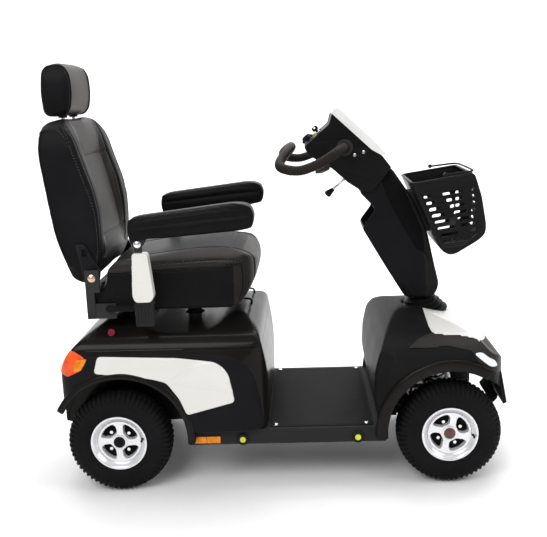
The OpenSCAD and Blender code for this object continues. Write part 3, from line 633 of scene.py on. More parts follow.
def rim_mesh(turn):
    """A cast rim with four spokes, facing +Y, its spokes turned by that angle."""
    barrel = turned([(80, -47), (88, -47), (88, -44), (83, -41), (81, -30), (80, 30), (83, 41), (88, 44),
                     (88, 47), (84.5, 47.4), (80.5, 45), (77, 38), (72, 33), (68, 31), (66, 27), (66, 14),
                     (76, 10), (77, -30), (80, -47)], (0, 0, 0), (0, 1, 0), 96, "barrel")
    radii = np.concatenate([np.linspace(20, 26, 4), np.linspace(26.5, 62, 34), np.linspace(63, 68, 3)])
    angles = np.linspace(0, 2 * math.pi, 288, endpoint=False)
    r, a = np.meshgrid(radii, angles, indexing="ij")
    local = (a - turn + (r - 40) * 0.004 + math.pi / 4) % (math.pi / 2) - math.pi / 4
    off_spoke = np.abs(r * np.sin(local)) - SPOKE_HALF - 5 * step(45, 62, r)
    edge = np.minimum(np.minimum(r - POCKET_INNER, POCKET_OUTER - r), off_spoke)
    both_near = np.hypot(np.clip(7 - np.minimum(r - POCKET_INNER, POCKET_OUTER - r), 0, 7),
                         np.clip(7 - off_spoke, 0, 7))
    edge = np.minimum(edge, 7 - both_near)
    face = 33.5 - 15 * step(-0.6, 2.2, edge) + 1.5 * step(52, 66, r)
    front = np.stack([r * np.cos(a), face, r * np.sin(a)], 2) * MM
    back = np.stack([r * np.cos(a), np.full_like(r, 12.0), r * np.sin(a)], 2) * MM
    rings = [*front, *back[::-1]]
    disc = loft(rings, "disc", closed=True)
    dark = [1 if p > 1.4 else 0 for p in edge.ravel()]
    disc.data.materials.append(MATERIALS["alloy"])
    disc.data.materials.append(DARK_INSIDE)
    for polygon in disc.data.polygons:
        polygon.material_index = min(dark[v] if v < len(dark) else 0 for v in polygon.vertices)
    hub = turned([(0, 12), (9, 12), (9, -20), (26, -20), (26, 14), (24, 36), (21, 37), (0, 37)], (0, 0, 0),
                 (0, 1, 0), 48, "hub")
    return barrel, disc, hub


def make_wheels():
    tyre = tyre_mesh()
    for name, side in WHEELS.items():
        low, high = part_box("tyre_" + name)
        centre = (low + high) / 2
        body = "wheel_" + name
        piece = bpy.data.objects.new("tyre_tread_" + name, tyre.data.copy())
        bpy.context.scene.collection.objects.link(piece)
        piece.location = centre
        finish(piece, body, "tyre", "tyre_" + name)
        turn = math.radians(17 if name[0] == "f" else 4)
        barrel, disc, hub = rim_mesh(turn)
        facing = Matrix.Translation(centre) @ Matrix.Rotation(0 if side > 0 else math.pi, 4, "Z")
        for part, label in ((barrel, "rim_barrel_"), (disc, "rim_spokes_"), (hub, "rim_hub_")):
            part.name = label + name
            if part is not disc:
                part.data.materials.append(MATERIALS["alloy"])
            part.matrix_world = facing
            part.data.shade_smooth()
            part.data.set_sharp_from_angle(angle=math.radians(40))
            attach(part, body)
        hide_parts("rim_" + name)
        wheel_details(name, turn, facing, body)
    bpy.data.objects.remove(tyre)


def wheel_details(name, turn, facing, body):
    cap = turned([(0, 30), (18.5, 30), (18.5, 38), (16.5, 41.5), (12, 43), (9, 42.4), (7, 43.4), (0, 43.6)],
                 (0, 0, 0), (0, 1, 0), 40, "hub_cap_" + name)
    nuts = []
    for k in range(4):
        angle = turn + math.pi / 4 + k * math.pi / 2
        place = (NUT_AT * math.cos(angle), 15, NUT_AT * math.sin(angle))
        nuts.append(turned([(0, 0), (8.6, 0), (8.6, 2), (6.5, 3), (6.5, 10), (5.6, 11.5), (0, 12.5)], place,
                           (0, 1, 0), 6, "nut"))
    lug_nuts = join("lug_nuts_" + name, *nuts)
    valve_angle = turn + math.pi * 0.94
    stem_at = (74 * math.cos(valve_angle), 30, 74 * math.sin(valve_angle))
    stem = turned([(0, 0), (4, 0), (4, 6), (2.8, 8), (2.8, 17), (3.6, 17.5), (3.6, 24), (0, 25)], stem_at,
                  (0, 1, 0), 16, "valve_" + name)
    for piece, material, slot in ((cap, HUB_BROWN if name[0] == "f" else MATERIALS["control_black"],
                                   "control_black"), (lug_nuts, CHROME, "bright_steel"),
                                  (stem, MATERIALS["control_black"], "control_black")):
        piece.matrix_world = facing
        finish(piece, body, slot, material=material, flat_angle=35)


# ---------------------------------------------------------------- body shells

REAR_SIDE = [(-47, 196), (-44, 350), (-50, 410), (-60, 467), (-66, 500), (-86, 524), (-130, 538), (-170, 535),
             (-205, 519), (-225, 511), (-248, 507), (-362, 507), (-392, 511), (-430, 519), (-470, 530),
             (-520, 540), (-560, 533), (-605, 510), (-640, 482), (-662, 455), (-690, 405), (-712, 335),
             (-720, 270), (-720, 216), (-706, 196)]
REAR_PLAN = [(-42, 245), (-56, 282), (-90, 304), (-150, 316), (-590, 316), (-655, 308), (-690, 280),
             (-712, 200), (-720, 100)]
REAR_FRONT = [(316, 190), (316, 405), (308, 440), (302, 460), (294, 482), (270, 505), (205, 526), (110, 538)]
REAR_HALF = 316
REAR_ARCH, REAR_ARCH_R = (-503, 177), 205
SEAM = 467

FRONT_SIDE = [(299, 201), (284, 300), (287, 370), (300, 428), (322, 478), (352, 511), (392, 527), (430, 528),
              (480, 514), (557, 491), (608, 467), (649, 440), (676, 411), (700, 376), (712, 340), (718, 300),
              (720, 250), (718, 212), (700, 186), (640, 180), (334, 180), (326, 201)]
FRONT_PLAN = [(283, 284), (330, 299), (430, 306), (560, 306), (628, 300), (664, 276), (688, 232), (706, 150),
              (719, 60)]
FRONT_FRONT = [(306, 170), (306, 415), (291, 447), (243, 477), (158, 505), (80, 522)]
FRONT_HALF = 306
FRONT_ARCH, FRONT_ARCH_R = (524, 178), 200
STEER_LEAN = math.radians(12)
STEER_BASE = (470, 0, 500)
STEER_AXIS = Vector((-math.sin(STEER_LEAN), 0, math.cos(STEER_LEAN)))


def through(half):
    """A path of (x, y, z) from one side, carried on over the middle to the other side."""
    return [*half, *((x, -y, z) for x, y, z in reversed(half))]


def whole(half, swap=False):
    """A half outline of (x, y), closed over to the other side; with swap, of (y, z)."""
    if swap:
        return [*half, *((-y, z) for y, z in reversed(half))]
    return [*half, *((x, -y) for x, y in reversed(half))]


def body_form(side, plan, front, y_scale):
    """The solid common to a side, a plan and a front outline."""
    solid = common(prism(rounded(side, 16), "y", -REACH, REACH),
                   prism(rounded(whole(plan), 22), "z", 100, 600),
                   prism(rounded(whole(front, True), 22), "x", -800, 800))
    solid.data.transform(Matrix.Diagonal((1, y_scale, 1, 1)))
    return solid


def rear_form(grow=0.0):
    """The rear body, widened by grow in mm on each side."""
    return body_form(REAR_SIDE, REAR_PLAN, REAR_FRONT, 1 + grow / REAR_HALF)


def front_form(grow=0.0):
    """The front body, widened by grow in mm on each side."""
    return body_form(FRONT_SIDE, FRONT_PLAN, FRONT_FRONT, 1 + grow / FRONT_HALF)


def region(outline, corner, near=0.0):
    """A prism of that side outline through both sides, or from near outward on each side."""
    if near:
        return join("region", prism(rounded(outline, corner), "y", near, REACH),
                    prism(rounded(outline, corner), "y", -REACH, -near))
    return prism(rounded(outline, corner), "y", -REACH, REACH)


def box(x0, x1, y0, y1, z0, z1):
    return prism([(x0, z0), (x1, z0), (x1, z1), (x0, z1)], "y", y0, y1)


def arch_cut(place, radius, inner):
    return join("arch", *(cylinder((place[0], side * inner, place[1]), (0, side, 0), radius, 260, 96)
                          for side in SIDES))


def arch_ring(place, profile, start, end, name):
    """A band round both wheel arches. Its profile is (radius, y) in mm, and the angles are in degrees."""
    rings = []
    for k in range(61):
        a = math.radians(start + (end - start) * k / 60)
        rings.append([Vector((place[0] + r * math.cos(a), y, place[1] + r * math.sin(a))) * MM for r,
                      y in profile])
    return both(loft(rings, name))


def make_rear_body():
    form = rear_form()
    soften(form, 5, 10)
    skirt = copied(form, "skirt")

    dome = combine(form, box(-760, 0, -REACH, REACH, SEAM + 0.8, 600), "INTERSECT")
    cut(dome, box(-640, -95, -270, 270, 440, 470), cylinder((-300, 0, 430), (0, 0, 1), 33, 90, 48))
    crease(dome, smooth_path([(-128, y, 545) for y in (-230, 0, 230)], 40), 10, 0.8)
    finish(dome, "chassis", "gloss_black", "rear_shroud", name="battery_cover", flat_angle=38)

    cut(skirt, box(-760, 0, -REACH, REACH, SEAM - 0.8, 600), box(-650, -75, -185, 185, 150, 452),
        arch_cut(REAR_ARCH, REAR_ARCH_R, 195), box(-570, -455, -200, 200, 120, 300),
        join("tails", box(-740, -630, 200, 400, 150, 283), box(-740, -630, -400, -200, 150, 283)))
    finish(skirt, "chassis", "gloss_black", "rear_body", name="rear_skirt", flat_angle=38)

    cover = rear_form(2)
    outline = [(-706, 300), (-694, 400), (-672, 452), (-420, 457), (-230, 452), (-150, 443), (-106, 418),
               (-84, 374), (-70, 300), (-60, 198), (-290, 198), (-300, 260), (-420, 372), (-600, 372),
               (-640, 300)]
    combine(cover, region(outline, 14, near=270), "INTERSECT")
    cut(cover, arch_cut(REAR_ARCH, REAR_ARCH_R + 6, 195))
    soften(cover, 4, 5)
    finish(cover, "chassis", "body_charcoal", name="rear_side_covers")

    panel = rear_form(5)
    outline = [(-578, 401), (-566, 452), (-320, 443), (-209, 429), (-180, 413), (-163, 388), (-147, 299),
               (-298, 259), (-318, 312), (-356, 366), (-400, 379)]
    combine(panel, region(outline, 12, near=296), "INTERSECT")
    soften(panel, 2.5, 4)
    for side in SIDES:
        fold = [(-340, side * 321, 372), (-262, side * 321, 415), (-196, side * 321, 425)]
        crease(panel, smooth_path(fold, 30), 7, 2.4)
        crease(panel, smooth_path([(-328, side * 321, 367), (-150, side * 321, 335)], 60), 6, 1.8)
        crease(panel, smooth_path([(-560, side * 321, 425), (-430, side * 321, 384)], 60), 16, -1.0)
    finish(panel, "chassis", "white_panel", "rear_panels", name="rear_white_panels")

    lip = arch_ring(REAR_ARCH, [(204, 300), (204, 320), (206, 322.5), (210, 323.5), (219, 321.5), (226, 318),
                                (227, 300)], -3, 152, "rear_arch_lips")
    finish(lip, "chassis", "gloss_black", name="rear_arch_lips")

    collar = turned([(27, 470), (40, 470), (44, 476), (41, 479), (34, 480), (29, 486), (26.5, 486),
                     (26.5, 470)], (-300, 0, 0), (0, 0, 1), 48, "post_collar")
    finish(collar, "chassis", "bellows_rubber")
    # The thin grey bar along the seam is a painted highlight line.
    bar = both(tube([(-600, 303, SEAM + 1.5), (-440, 303.5, SEAM + 1.2), (-300, 303, SEAM + 0.8)], 1.6, 8,
                    "seam_highlight"))
    finish(bar, "chassis", "trim_grey")


def make_rear_lights():
    for name, outline, slot, grow in (("tail_lamps", [(-604, 448), (-622, 408), (-662, 388), (-712, 400),
                                                      (-700, 470), (-640, 470)], "lamp_red", 4),
                                      ("rear_indicators", [(-596, 446), (-617, 410), (-640, 404),
                                                           (-634, 444)], "reflector_amber", 5.5)):
        lens = rear_form(grow)
        lens.data.transform(Matrix.Translation((-grow * 0.4 * MM, 0, 0)))
        combine(lens, region(outline, 6, near=215), "INTERSECT")
        soften(lens, 2.5, 4)
        finish(lens, "chassis", slot, *(["rear_lights"] if slot == "lamp_red" else []), name=name)


def make_reflectors():
    """Side reflectors with a moulded frame and a divided lens."""
    low, high = (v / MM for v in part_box("side_reflectors"))
    lenses, frames = [], []
    for side in SIDES:
        face = side * high.y
        back = side * (high.y - 5)
        y0, y1 = sorted((back, face - side * 0.6))
        middle = (low.x + high.x) / 2
        for x0, x1 in ((low.x + 2, middle - 0.7), (middle + 0.7, high.x - 2)):
            outline = [(x0, low.z + 2), (x1, low.z + 2), (x1, high.z - 2), (x0, high.z - 2)]
            lenses.append(prism(rounded(outline, 2), "y", y0, y1))
        y0, y1 = sorted((back, face - side * 2))
        outline = [(low.x, low.z), (high.x, low.z), (high.x, high.z), (low.x, high.z)]
        frames.append(prism(rounded(outline, 3), "y", y0, y1))
    lens, rim = join("side_reflector_lenses", *lenses), join("side_reflector_frames", *frames)
    for piece in (lens, rim):
        bevelled(piece, 0.5)
    finish(lens, "chassis", "reflector_amber", "side_reflectors", flat_angle=30)
    finish(rim, "chassis", "trim_grey", flat_angle=30)


HOOD_OUTLINE = [(462, 560), (462, 500), (468, 482), (484, 478), (560, 474), (606, 466), (622, 440),
                (640, 395), (740, 380), (740, 560)]
HOOD_PLAN = [(440, 300), (604, 300), (616, 254), (648, 176), (668, 86)]
COWL_OUTLINE = [(388, 450), (430, 472), (470, 481), (560, 478), (640, 470), (730, 440), (730, 332),
                (690, 344), (642, 368), (600, 405), (583, 438), (512, 452), (446, 447)]
LAMP_OUTLINE = [(588, 432), (616, 436), (656, 404), (668, 382), (640, 386)]


def lowered(obj):
    """Brings the shoulders of the nose down in front of the hood."""
    co = vertex_array(obj)
    x, y, z = (co / MM).T
    co[:, 2] -= 20 * MM * step(600, 660, x) * step(150, 250, np.abs(y)) * step(400, 460, z)
    set_vertices(obj, co)


def make_front_body():
    form = front_form()
    cavity = front_form()
    middle = Vector((502, 0, 300)) * MM
    shrink = Matrix.Diagonal((1 - 18 / 436, 1 - 18 / 612, 1 - 22 / 350, 1))
    cavity.data.transform(Matrix.Translation(middle) @ shrink @ Matrix.Translation(-middle))
    opening = cylinder(Vector(STEER_BASE) - STEER_AXIS * 60, STEER_AXIS, 62, 140, 64)
    cut(form, cavity, box(340, 690, -270, 270, 150, 215), arch_cut(FRONT_ARCH, FRONT_ARCH_R, 96), opening)
    soften(form, 4, 7)
    lowered(form)
    for side in SIDES:
        ridge = [(384, side * 215, 530), (374, side * 262, 505), (353, side * 300, 443),
                 (328, side * 303, 371), (313, side * 300, 290), (310, side * 296, 215)]
        crease(form, smooth_path(ridge, 30), 8, 3.0)
    combine(form, box(0, 900, -REACH, REACH, 150, 640), "INTERSECT")
    finish(form, "chassis", "floor_plastic", "front_body", name="front_shell", flat_angle=50)

    hood = front_form(4)
    hood.data.transform(Matrix.Translation((0, 0, 3.5 * MM)))
    inner = copied(hood, "inner")
    inner.data.transform(Matrix.Translation((-8 * MM, 0, -10 * MM)) @ Matrix.Diagonal((1, 0.96, 1, 1)))
    cut(hood, inner, cylinder(Vector(STEER_BASE) - STEER_AXIS * 60, STEER_AXIS, 80, 160, 64))
    combine(hood, region(HOOD_OUTLINE, 10), "INTERSECT")
    combine(hood, prism(rounded(whole(HOOD_PLAN), 14), "z", 100, 600), "INTERSECT")
    soften(hood, 3, 4)
    lowered(hood)
    finish(hood, "chassis", "white_panel", "front_hood", name="white_hood")

    cowl = front_form(2.5)
    cowl.data.transform(Matrix.Translation((0.8 * MM, 0, 1.6 * MM)))
    combine(cowl, region(COWL_OUTLINE, 8), "INTERSECT")
    core = front_form(-0.04 * FRONT_HALF)
    core.data.transform(Matrix.Translation((-10 * MM, 0, -8 * MM)))
    cut(cowl, core, cylinder(Vector(STEER_BASE) - STEER_AXIS * 90, STEER_AXIS, 84, 200, 64))
    soften(cowl, 3, 4)
    lowered(cowl)
    finish(cowl, "chassis", "trim_grey", "front_cowl", name="nose_cowl")

    flare = arch_ring(FRONT_ARCH, [(199, 280), (199, 307), (201, 309.5), (207, 311), (228, 311), (234, 309),
                                   (236, 304.5), (236, 280)], 58, 184, "front_arch_flares")
    finish(flare, "chassis", "gloss_black", name="front_arch_flares")


def make_headlights():
    lens = front_form(7)
    lens.data.transform(Matrix.Translation((2 * MM, 0, 0)))
    combine(lens, region(LAMP_OUTLINE, 9, near=200), "INTERSECT")
    soften(lens, 2, 4)
    lowered(lens)
    finish(lens, "chassis", "lamp_clear", "headlights", name="headlight_lenses")


def make_mudflaps():
    """Ribbed rubber flaps behind the nose."""
    plates = []
    for side in SIDES:
        y0, y1 = sorted((side * 110, side * 236))
        plates.append(prism(rounded([(676, 352), (688, 352), (708, 246), (696, 240)], 3), "y", y0, y1))
        for k in range(7):
            z = 262 + 13 * k
            x = 701 - 0.21 * (z - 246)
            plates.append(prism(rounded([(x - 9, z), (x, z - 2), (x, z + 5), (x - 9, z + 4)], 1.5), "y",
                                y0 + 6, y1 - 6))
    flap = join("nose_flaps", *plates)
    bevelled(flap, 0.8)
    finish(flap, "chassis", "bellows_rubber", flat_angle=35)


# ---------------------------------------------------------------- seat

CUSHION_SIDE = [(-594, 645), (-600, 612), (-592, 577), (-130, 577), (-108, 600), (-82, 640), (-66, 680),
                (-67, 706), (-84, 731), (-116, 748), (-162, 758), (-210, 761), (-262, 759), (-354, 748),
                (-448, 735), (-528, 722), (-538, 700), (-545, 645)]
CUSHION_PLAN = [(-640, 238), (-190, 238), (-132, 227), (-94, 192), (-73, 132), (-64, 50)]
CUSHION_FRONT = [(238, 570), (238, 700), (226, 727), (186, 751), (120, 767), (50, 775)]
BACK_SIDE = [(-648, 676), (-668, 740), (-690, 820), (-707, 950), (-718, 1050), (-720, 1110), (-712, 1150),
             (-690, 1172), (-655, 1174), (-628, 1150), (-606, 1109), (-583, 1029), (-560, 957), (-549, 890),
             (-548, 830), (-552, 760), (-560, 715), (-590, 660), (-620, 658)]
BACK_FRONT = [(214, 655), (226, 740), (228, 1080), (214, 1135), (170, 1166), (90, 1176)]
HEAD_REST_SIDE = [(-718, 1186), (-722, 1250), (-716, 1310), (-700, 1334), (-672, 1340), (-648, 1330),
                  (-634, 1300), (-631, 1250), (-638, 1200), (-656, 1178), (-700, 1176)]
HEAD_REST_FRONT = [(116, 1176), (128, 1200), (128, 1300), (112, 1330), (80, 1340)]
ARM_PAD_SIDE = [(-436, 806), (-442, 842), (-438, 876), (-98, 914), (-74, 904), (-64, 876), (-72, 840),
                (-376, 817)]
ARM_PIVOT = (-415, 801)
RECLINE_PIVOT = (-578, 686)


def swell(obj, amount):
    """Moves the surface outward by that many mm."""
    set_vertices(obj, vertex_array(obj) + normal_array(obj) * amount * MM)
    return obj


def inflate(obj, cap, held, base=-1e3):
    """Puffs a closed skin up by cloth simulation, by no more than cap in mm. The skin is held along the
    paths in held, and below the height base."""
    start = vertex_array(obj)
    points = [p for path in held for p, _ in laid_on(obj, smooth_path(path, 12))]
    pins = obj.vertex_groups.new(name="pins")
    pinned = (distances(start, points) < 5) | (start[:, 2] < base * MM)
    pins.add([int(i) for i in np.flatnonzero(pinned)], 1.0, "REPLACE")
    cloth = obj.modifiers.new("cloth", "CLOTH")
    cloth.settings.use_pressure = True
    cloth.settings.uniform_pressure_force = 4.0
    cloth.settings.effector_weights.gravity = 0
    cloth.settings.vertex_group_mass = "pins"
    cloth.collision_settings.use_collision = False
    cloth.point_cache.frame_start, cloth.point_cache.frame_end = 1, 20
    for number in range(1, 21):
        bpy.context.scene.frame_set(number)
    applied(obj)
    bpy.context.scene.frame_set(1)
    moved = vertex_array(obj) - start
    length = np.linalg.norm(moved, axis=1)[:, None]
    set_vertices(obj, start + moved * np.minimum(1, cap * MM / np.maximum(length, 1e-9)))
    obj.vertex_groups.clear()
    return modify(obj, "SUBSURF", levels=1)


def pad_form(side, front, half, corner, inset, voxel=6, plan=((-800, 300), (0, 300))):
    """The skin of a padded piece before it is filled."""
    form = common(prism(rounded(side, corner), "y", -half, half),
                  prism(rounded(whole(front, True), corner), "x", -800, 0),
                  prism(rounded(whole(plan), 22), "z", 500, 1400))
    soften(form, voxel, 10)
    return swell(form, -inset)


def on_sides(points, y):
    return [[(x, side * y, z) for x, z in points] for side in SIDES]


def make_cushion():
    form = pad_form(CUSHION_SIDE, CUSHION_FRONT, 238, 22, 3, plan=CUSHION_PLAN)
    panel = on_sides([(-538, 690), (-390, 697), (-324, 701), (-232, 706), (-141, 711), (-98, 704)], 236)
    nose = on_sides([(-98, 704), (-90, 670), (-97, 629), (-118, 600)], 234)
    band = on_sides([(-520, 708), (-399, 723), (-322, 729), (-230, 740), (-157, 738), (-100, 716)], 230)
    top = on_sides([(-520, 730), (-354, 750), (-250, 762), (-190, 763), (-128, 755), (-88, 735), (-68, 706),
                   (-66, 680), (-82, 640), (-108, 600)], 150)
    across = [[(-150, y, 775) for y in range(-150, 151, 30)]]
    inflate(form, 16, held=[*panel, *nose, *band, *top, *across], base=590)
    for side in SIDES:
        flap = [(-564, side * 236, 676), (-535, side * 236, 645), (-503, side * 236, 610)]
        crease(form, smooth_path(flap, 20), 6, -3.0)
        for x, z in ((-470, 640), (-300, 650), (-200, 640)):
            crease(form, smooth_path([(x, side * 238, z - 45), (x + 12, side * 238, z)], 20), 10, -1.4)
    for i, path in enumerate(panel):
        creased(form, path, 16, 5, -2.0)
        finish(piping(form, [*path, *nose[i][1:]]), "seat", "leather_black", name=f"cushion_piping_{i}")
    for i, path in enumerate(band):
        seam(f"cushion_band_stitches_{i}", form, path, "seat")
    for i, path in enumerate([*top, *across]):
        seam(f"cushion_top_stitches_{i}", form, path, "seat", depth=3.0)
    finish(form, "seat", "leather_black", "seat_cushion", name="cushion_cover")
    # Painted highlight: lighter leather on the upward-facing side bands and on the front-facing nose of the
    # cushion.
    paint(form, LEATHER_PAINTED_HIGHLIGHT, lambda c, n: c.z > 706 + (c.x + 232) * 0.03 and abs(c.y) > 148 and n.z > 0.05)
    paint(form, LEATHER_PAINTED_HIGHLIGHT, lambda c, n: c.x > -150 and n.x > 0.35)


def make_backrest():
    form = pad_form(BACK_SIDE, BACK_FRONT, 228, 14, 2)
    co, normals = vertex_array(form), normal_array(form)
    z = np.clip((co[:, 2] / MM - 735) / 435, 0, 1)
    across = 1 - step(105, 165, np.abs(co[:, 1]) / MM)
    front = step(0.1, 0.5, normals[:, 0])
    co[:, 0] -= 30 * MM * np.sin(math.pi * z) ** 1.2 * across * front
    set_vertices(form, co)
    outer = on_sides([(-650, 1160), (-620, 1093), (-581, 966), (-560, 887), (-556, 794), (-564, 728)], 226)
    wing = on_sides([(-630, 1165), (-603, 1092), (-563, 974), (-545, 886), (-545, 793), (-550, 732)], 205)
    strip = on_sides([(-631, 1162), (-605, 1065), (-575, 980), (-562, 880), (-556, 810), (-553, 740)], 150)
    rear = on_sides([(-700, 1155), (-712, 1080), (-700, 950), (-684, 820), (-660, 740)], 224)
    lumbar = [[(-560, y, 800) for y in range(-150, 151, 30)], [(-600, y, 1050) for y in range(-150, 151, 30)]]
    inflate(form, 16, held=[*outer, *wing, *strip, *rear, *lumbar])
    for i, path in enumerate(outer):
        seam(f"backrest_side_stitches_{i}", form, path, "seat_back", offsets=(-4.0, 4.0))
    for i, path in enumerate(wing):
        seam(f"backrest_wing_stitches_{i}", form, path, "seat_back")
    for i, path in enumerate([*strip, *lumbar]):
        seam(f"backrest_front_stitches_{i}", form, path, "seat_back", depth=3.0)
    for i, path in enumerate(rear):
        finish(piping(form, path), "seat_back", "leather_black", name=f"backrest_piping_{i}")
    finish(form, "seat_back", "leather_black", "backrest", name="backrest_cover")
    # Painted highlight: lighter leather on the front-facing middle of the backrest.
    paint(form, LEATHER_PAINTED_HIGHLIGHT, lambda c, n: abs(c.y) < 149 and n.x > 0.3)


def make_headrest():
    form = pad_form(HEAD_REST_SIDE, HEAD_REST_FRONT, 128, 10, 0, voxel=5)
    edge = on_sides([(x + (-674 - x) * 0.06, z + (1262 - z) * 0.06) for x, z in HEAD_REST_SIDE[::-1]], 112)
    inflate(form, 16, held=edge)
    for i, path in enumerate(edge):
        finish(piping(form, path, closed=True), "head_support", "leather_black", name=f"headrest_piping_{i}")
    finish(form, "head_support", "leather_black", "headrest", name="headrest_cover")
    # Painted highlight: lighter taupe leather on the front face of the headrest.
    paint(form, HEADREST_PAINTED_HIGHLIGHT, lambda c, n: n.x > 0.2 and abs(c.y) < 112)
    stays = [turned([(0, 1065), (5.9, 1065), (5.9, 1182), (0, 1182)], (-678, side * 60, 0), (0, 0, 1), 24,
                    "stay") for side in SIDES]
    finish(join("headrest_stays", *stays), "head_support", "bright_steel", "headrest_posts", flat_angle=40)
    guides = [turned([(6.6, 1170), (14, 1170), (14, 1177), (12, 1180), (6.6, 1181), (6.6, 1170)],
                     (-678, side * 60, 0), (0, 0, 1), 32, "guide") for side in SIDES]
    finish(join("headrest_guides", *guides), "seat_back", "control_black", flat_angle=40)


def make_armrests():
    for side, letter in ((-1, "r"), (1, "l")):
        body = "armrest_" + letter
        y0, y1 = sorted((side * 262, side * 325))
        pad = prism(rounded(ARM_PAD_SIDE, 9), "y", y0, y1, "pad")
        cut(pad, box(-460, -384, side * 308 - 7, side * 308 + 7, 780, 830))
        soften(pad, 4, 4)
        line = [(-425, 850), (-300, 862), (-180, 874), (-85, 880)]
        sides = [[(x, y, z) for x, z in line] for y in (y0, y1)]
        inflate(pad, 5, held=sides, base=812)
        for path in sides:
            creased(pad, path, 30, 4, -2.0)
        finish(pad, body, "pad_black", "arm_pad_" + letter, name="arm_pad_cover_" + letter)
        fork = join("fork", *(prism(rounded([(-431, 791), (-433, 832), (-384, 838), (-388, 815), (-402, 791)],
                                            8), "y", *sorted((side * a, side * (a + 4)))) for a
                              in (298, 314)))
        finish(fork, body, "frame_steel", name="arm_fork_" + letter, flat_angle=35)
        bolt = turned([(0, 0), (11, 0), (11, 1.5), (9, 2), (9, 4), (6, 6.2), (0, 7)],
                      (ARM_PIVOT[0], side * 318, ARM_PIVOT[1]), (0, side, 0), 32, "arm_bolt_" + letter)
        finish(bolt, body, "bright_steel", material=CHROME, flat_angle=40)


def make_arm_uprights():
    post = prism(rounded([(-440, 643), (-431, 623), (-385, 623), (-374, 641), (-387, 774), (-433, 774)], 9),
                 "y", 291, 325)
    lug = join("lug", prism([(-426, 770), (-404, 770), (-404, 801), (-426, 801)], "y", 304, 312),
               cylinder((*ARM_PIVOT[:1], 304, ARM_PIVOT[1]), (0, 1, 0), 10.4, 8, 32))
    finish(both(lug), "seat", "frame_steel", name="arm_lugs", flat_angle=35)
    soften(post, 2.5, 5)
    crease(post, smooth_path([(-436, 325, 690), (-380, 325, 690)], 20), 2, -0.8)
    finish(both(post), "seat", "white_panel", "arm_posts", name="arm_post_covers")
    socket = [prism(rounded([(-434, 549), (-379, 549), (-381, 623), (-435, 623)], 5), "y", 291, 323)]
    socket += [prism(rounded([(x, 556), (x + 4, 556), (x + 4, 618), (x, 618)], 1.5), "y", 321, 325)
               for x in (-430, -420, -410, -400, -390)]
    socket.append(prism(rounded([(-436, 612), (-378, 612), (-378, 619), (-436, 619)], 2), "y", 290, 325))
    socket.append(box(-422, -388, 254, 292, 556, 573))
    sockets = both(join("sockets", *socket))
    bevelled(sockets, 0.8)
    finish(sockets, "seat", "socket_grey", "arm_sockets", name="arm_socket_ribbed", flat_angle=35)
    bolts = [turned([(0, 0), (12, 0), (12, 2), (9.5, 3), (9.5, 5.5), (7, 7.5), (0, 8.2)],
                    (RECLINE_PIVOT[0], side * 249.5, RECLINE_PIVOT[1]), (0, side, 0), 32, "bolt") for side
             in SIDES]
    finish(join("recline_bolts", *bolts), "seat_back", "bright_steel", material=COPPER, flat_angle=40)


def make_seat_controls():
    arm = prism(rounded([(-534, 580), (-534, 600), (-500, 598), (-446, 594), (-442, 588), (-446, 582)], 5),
                "y", -262, -254)
    hub = cylinder((-530, -247, 590), (0, -1, 0), 10, 14, 32, bevel=1)
    lever = join("lever", arm, hub)
    bevelled(lever, 1.2, 3)
    finish(lever, "recline_handle", "control_black", "recline_lever", name="recline_paddle", flat_angle=35)
    half = [(-170, -72, 566), (-130, -72, 566), (-106, -72, 564), (-100, -72, 556), (-100, -72, 550),
            (-102, -64, 546), (-102, -30, 545)]
    path = smooth_path(through(half), 6)
    bar = tube(path, 3.5, 16, "bar")
    sleeves = join("sleeves", *(tube(smooth_path([(-102, s * 30, 545), (-102, s * 62, 545.5)], 8), 4.4, 16)
                                for s in SIDES))
    finish(join("slide_release_wire", bar, sleeves), "slide_handle", "control_black", "slide_bar",
           flat_angle=50)
    post = turned([(20, 230), (24.9, 230), (24.9, 528), (28, 534), (58, 536), (60, 538), (60, 541),
                   (20, 541)], (-300, 0, 0), (0, 0, 1), 64, "seat_post_tube")
    finish(post, "seat_height", "bright_steel", "seat_post", flat_angle=30)


# ---------------------------------------------------------------- tiller, head and controls

TILLER_SIDE = [(498, 552), (513, 572), (518, 600), (501, 667), (479, 769), (440, 864), (413, 909), (361, 986),
               (258, 909), (312, 852), (270, 797), (270, 786), (340, 665), (408, 552)]
TILLER_FRONT = [(58, 540), (72, 600), (78, 680), (78, 990)]
TILLER_POCKET = [(258, 812), (284, 784), (342, 690), (392, 660), (404, 690), (394, 780), (340, 880),
                 (318, 862)]
TILLER_BAND = [(345, 990), (405, 914), (463, 780), (474, 706), (443, 718), (396, 801), (334, 922), (321, 958)]
HEAD_SIDE = [(99, 1032), (86, 1059), (166, 1126), (176, 1160), (298, 1044), (332, 1024), (361, 986),
             (299, 905), (265, 913), (222, 942), (174, 987)]
HEAD_FRONT = [(84, 900), (96, 960), (104, 1020), (104, 1165)]
LID_SIDE = [(175, 1159), (182, 1177), (194, 1178), (316, 1062), (347, 1026), (334, 1023), (298, 1044)]
DASH_LEAN = math.radians(40)
GRIP_R = 15.5
BAR_HALF = [(214, -96, 1052), (208, -150, 1056), (200, -205, 1056), (178, -240, 1044), (144, -250, 1024),
            (108, -252, 1008), (72, -250, 998), (38, -244, 1000), (14, -224, 1008), (12, -190, 1020),
            (24, -140, 1036), (38, -80, 1048), (44, -30, 1053)]


def dash(along, across):
    """The place on the sloping dash, and the turn of its surface, as a matrix in metres."""
    place = Vector((86 + along * math.cos(DASH_LEAN), across, 1059 + along * math.sin(DASH_LEAN))) * MM
    return Matrix.Translation(place) @ Matrix.Rotation(-DASH_LEAN, 4, "Y")


def on_dash(obj, along, across):
    obj.data.transform(dash(along, across))
    return obj


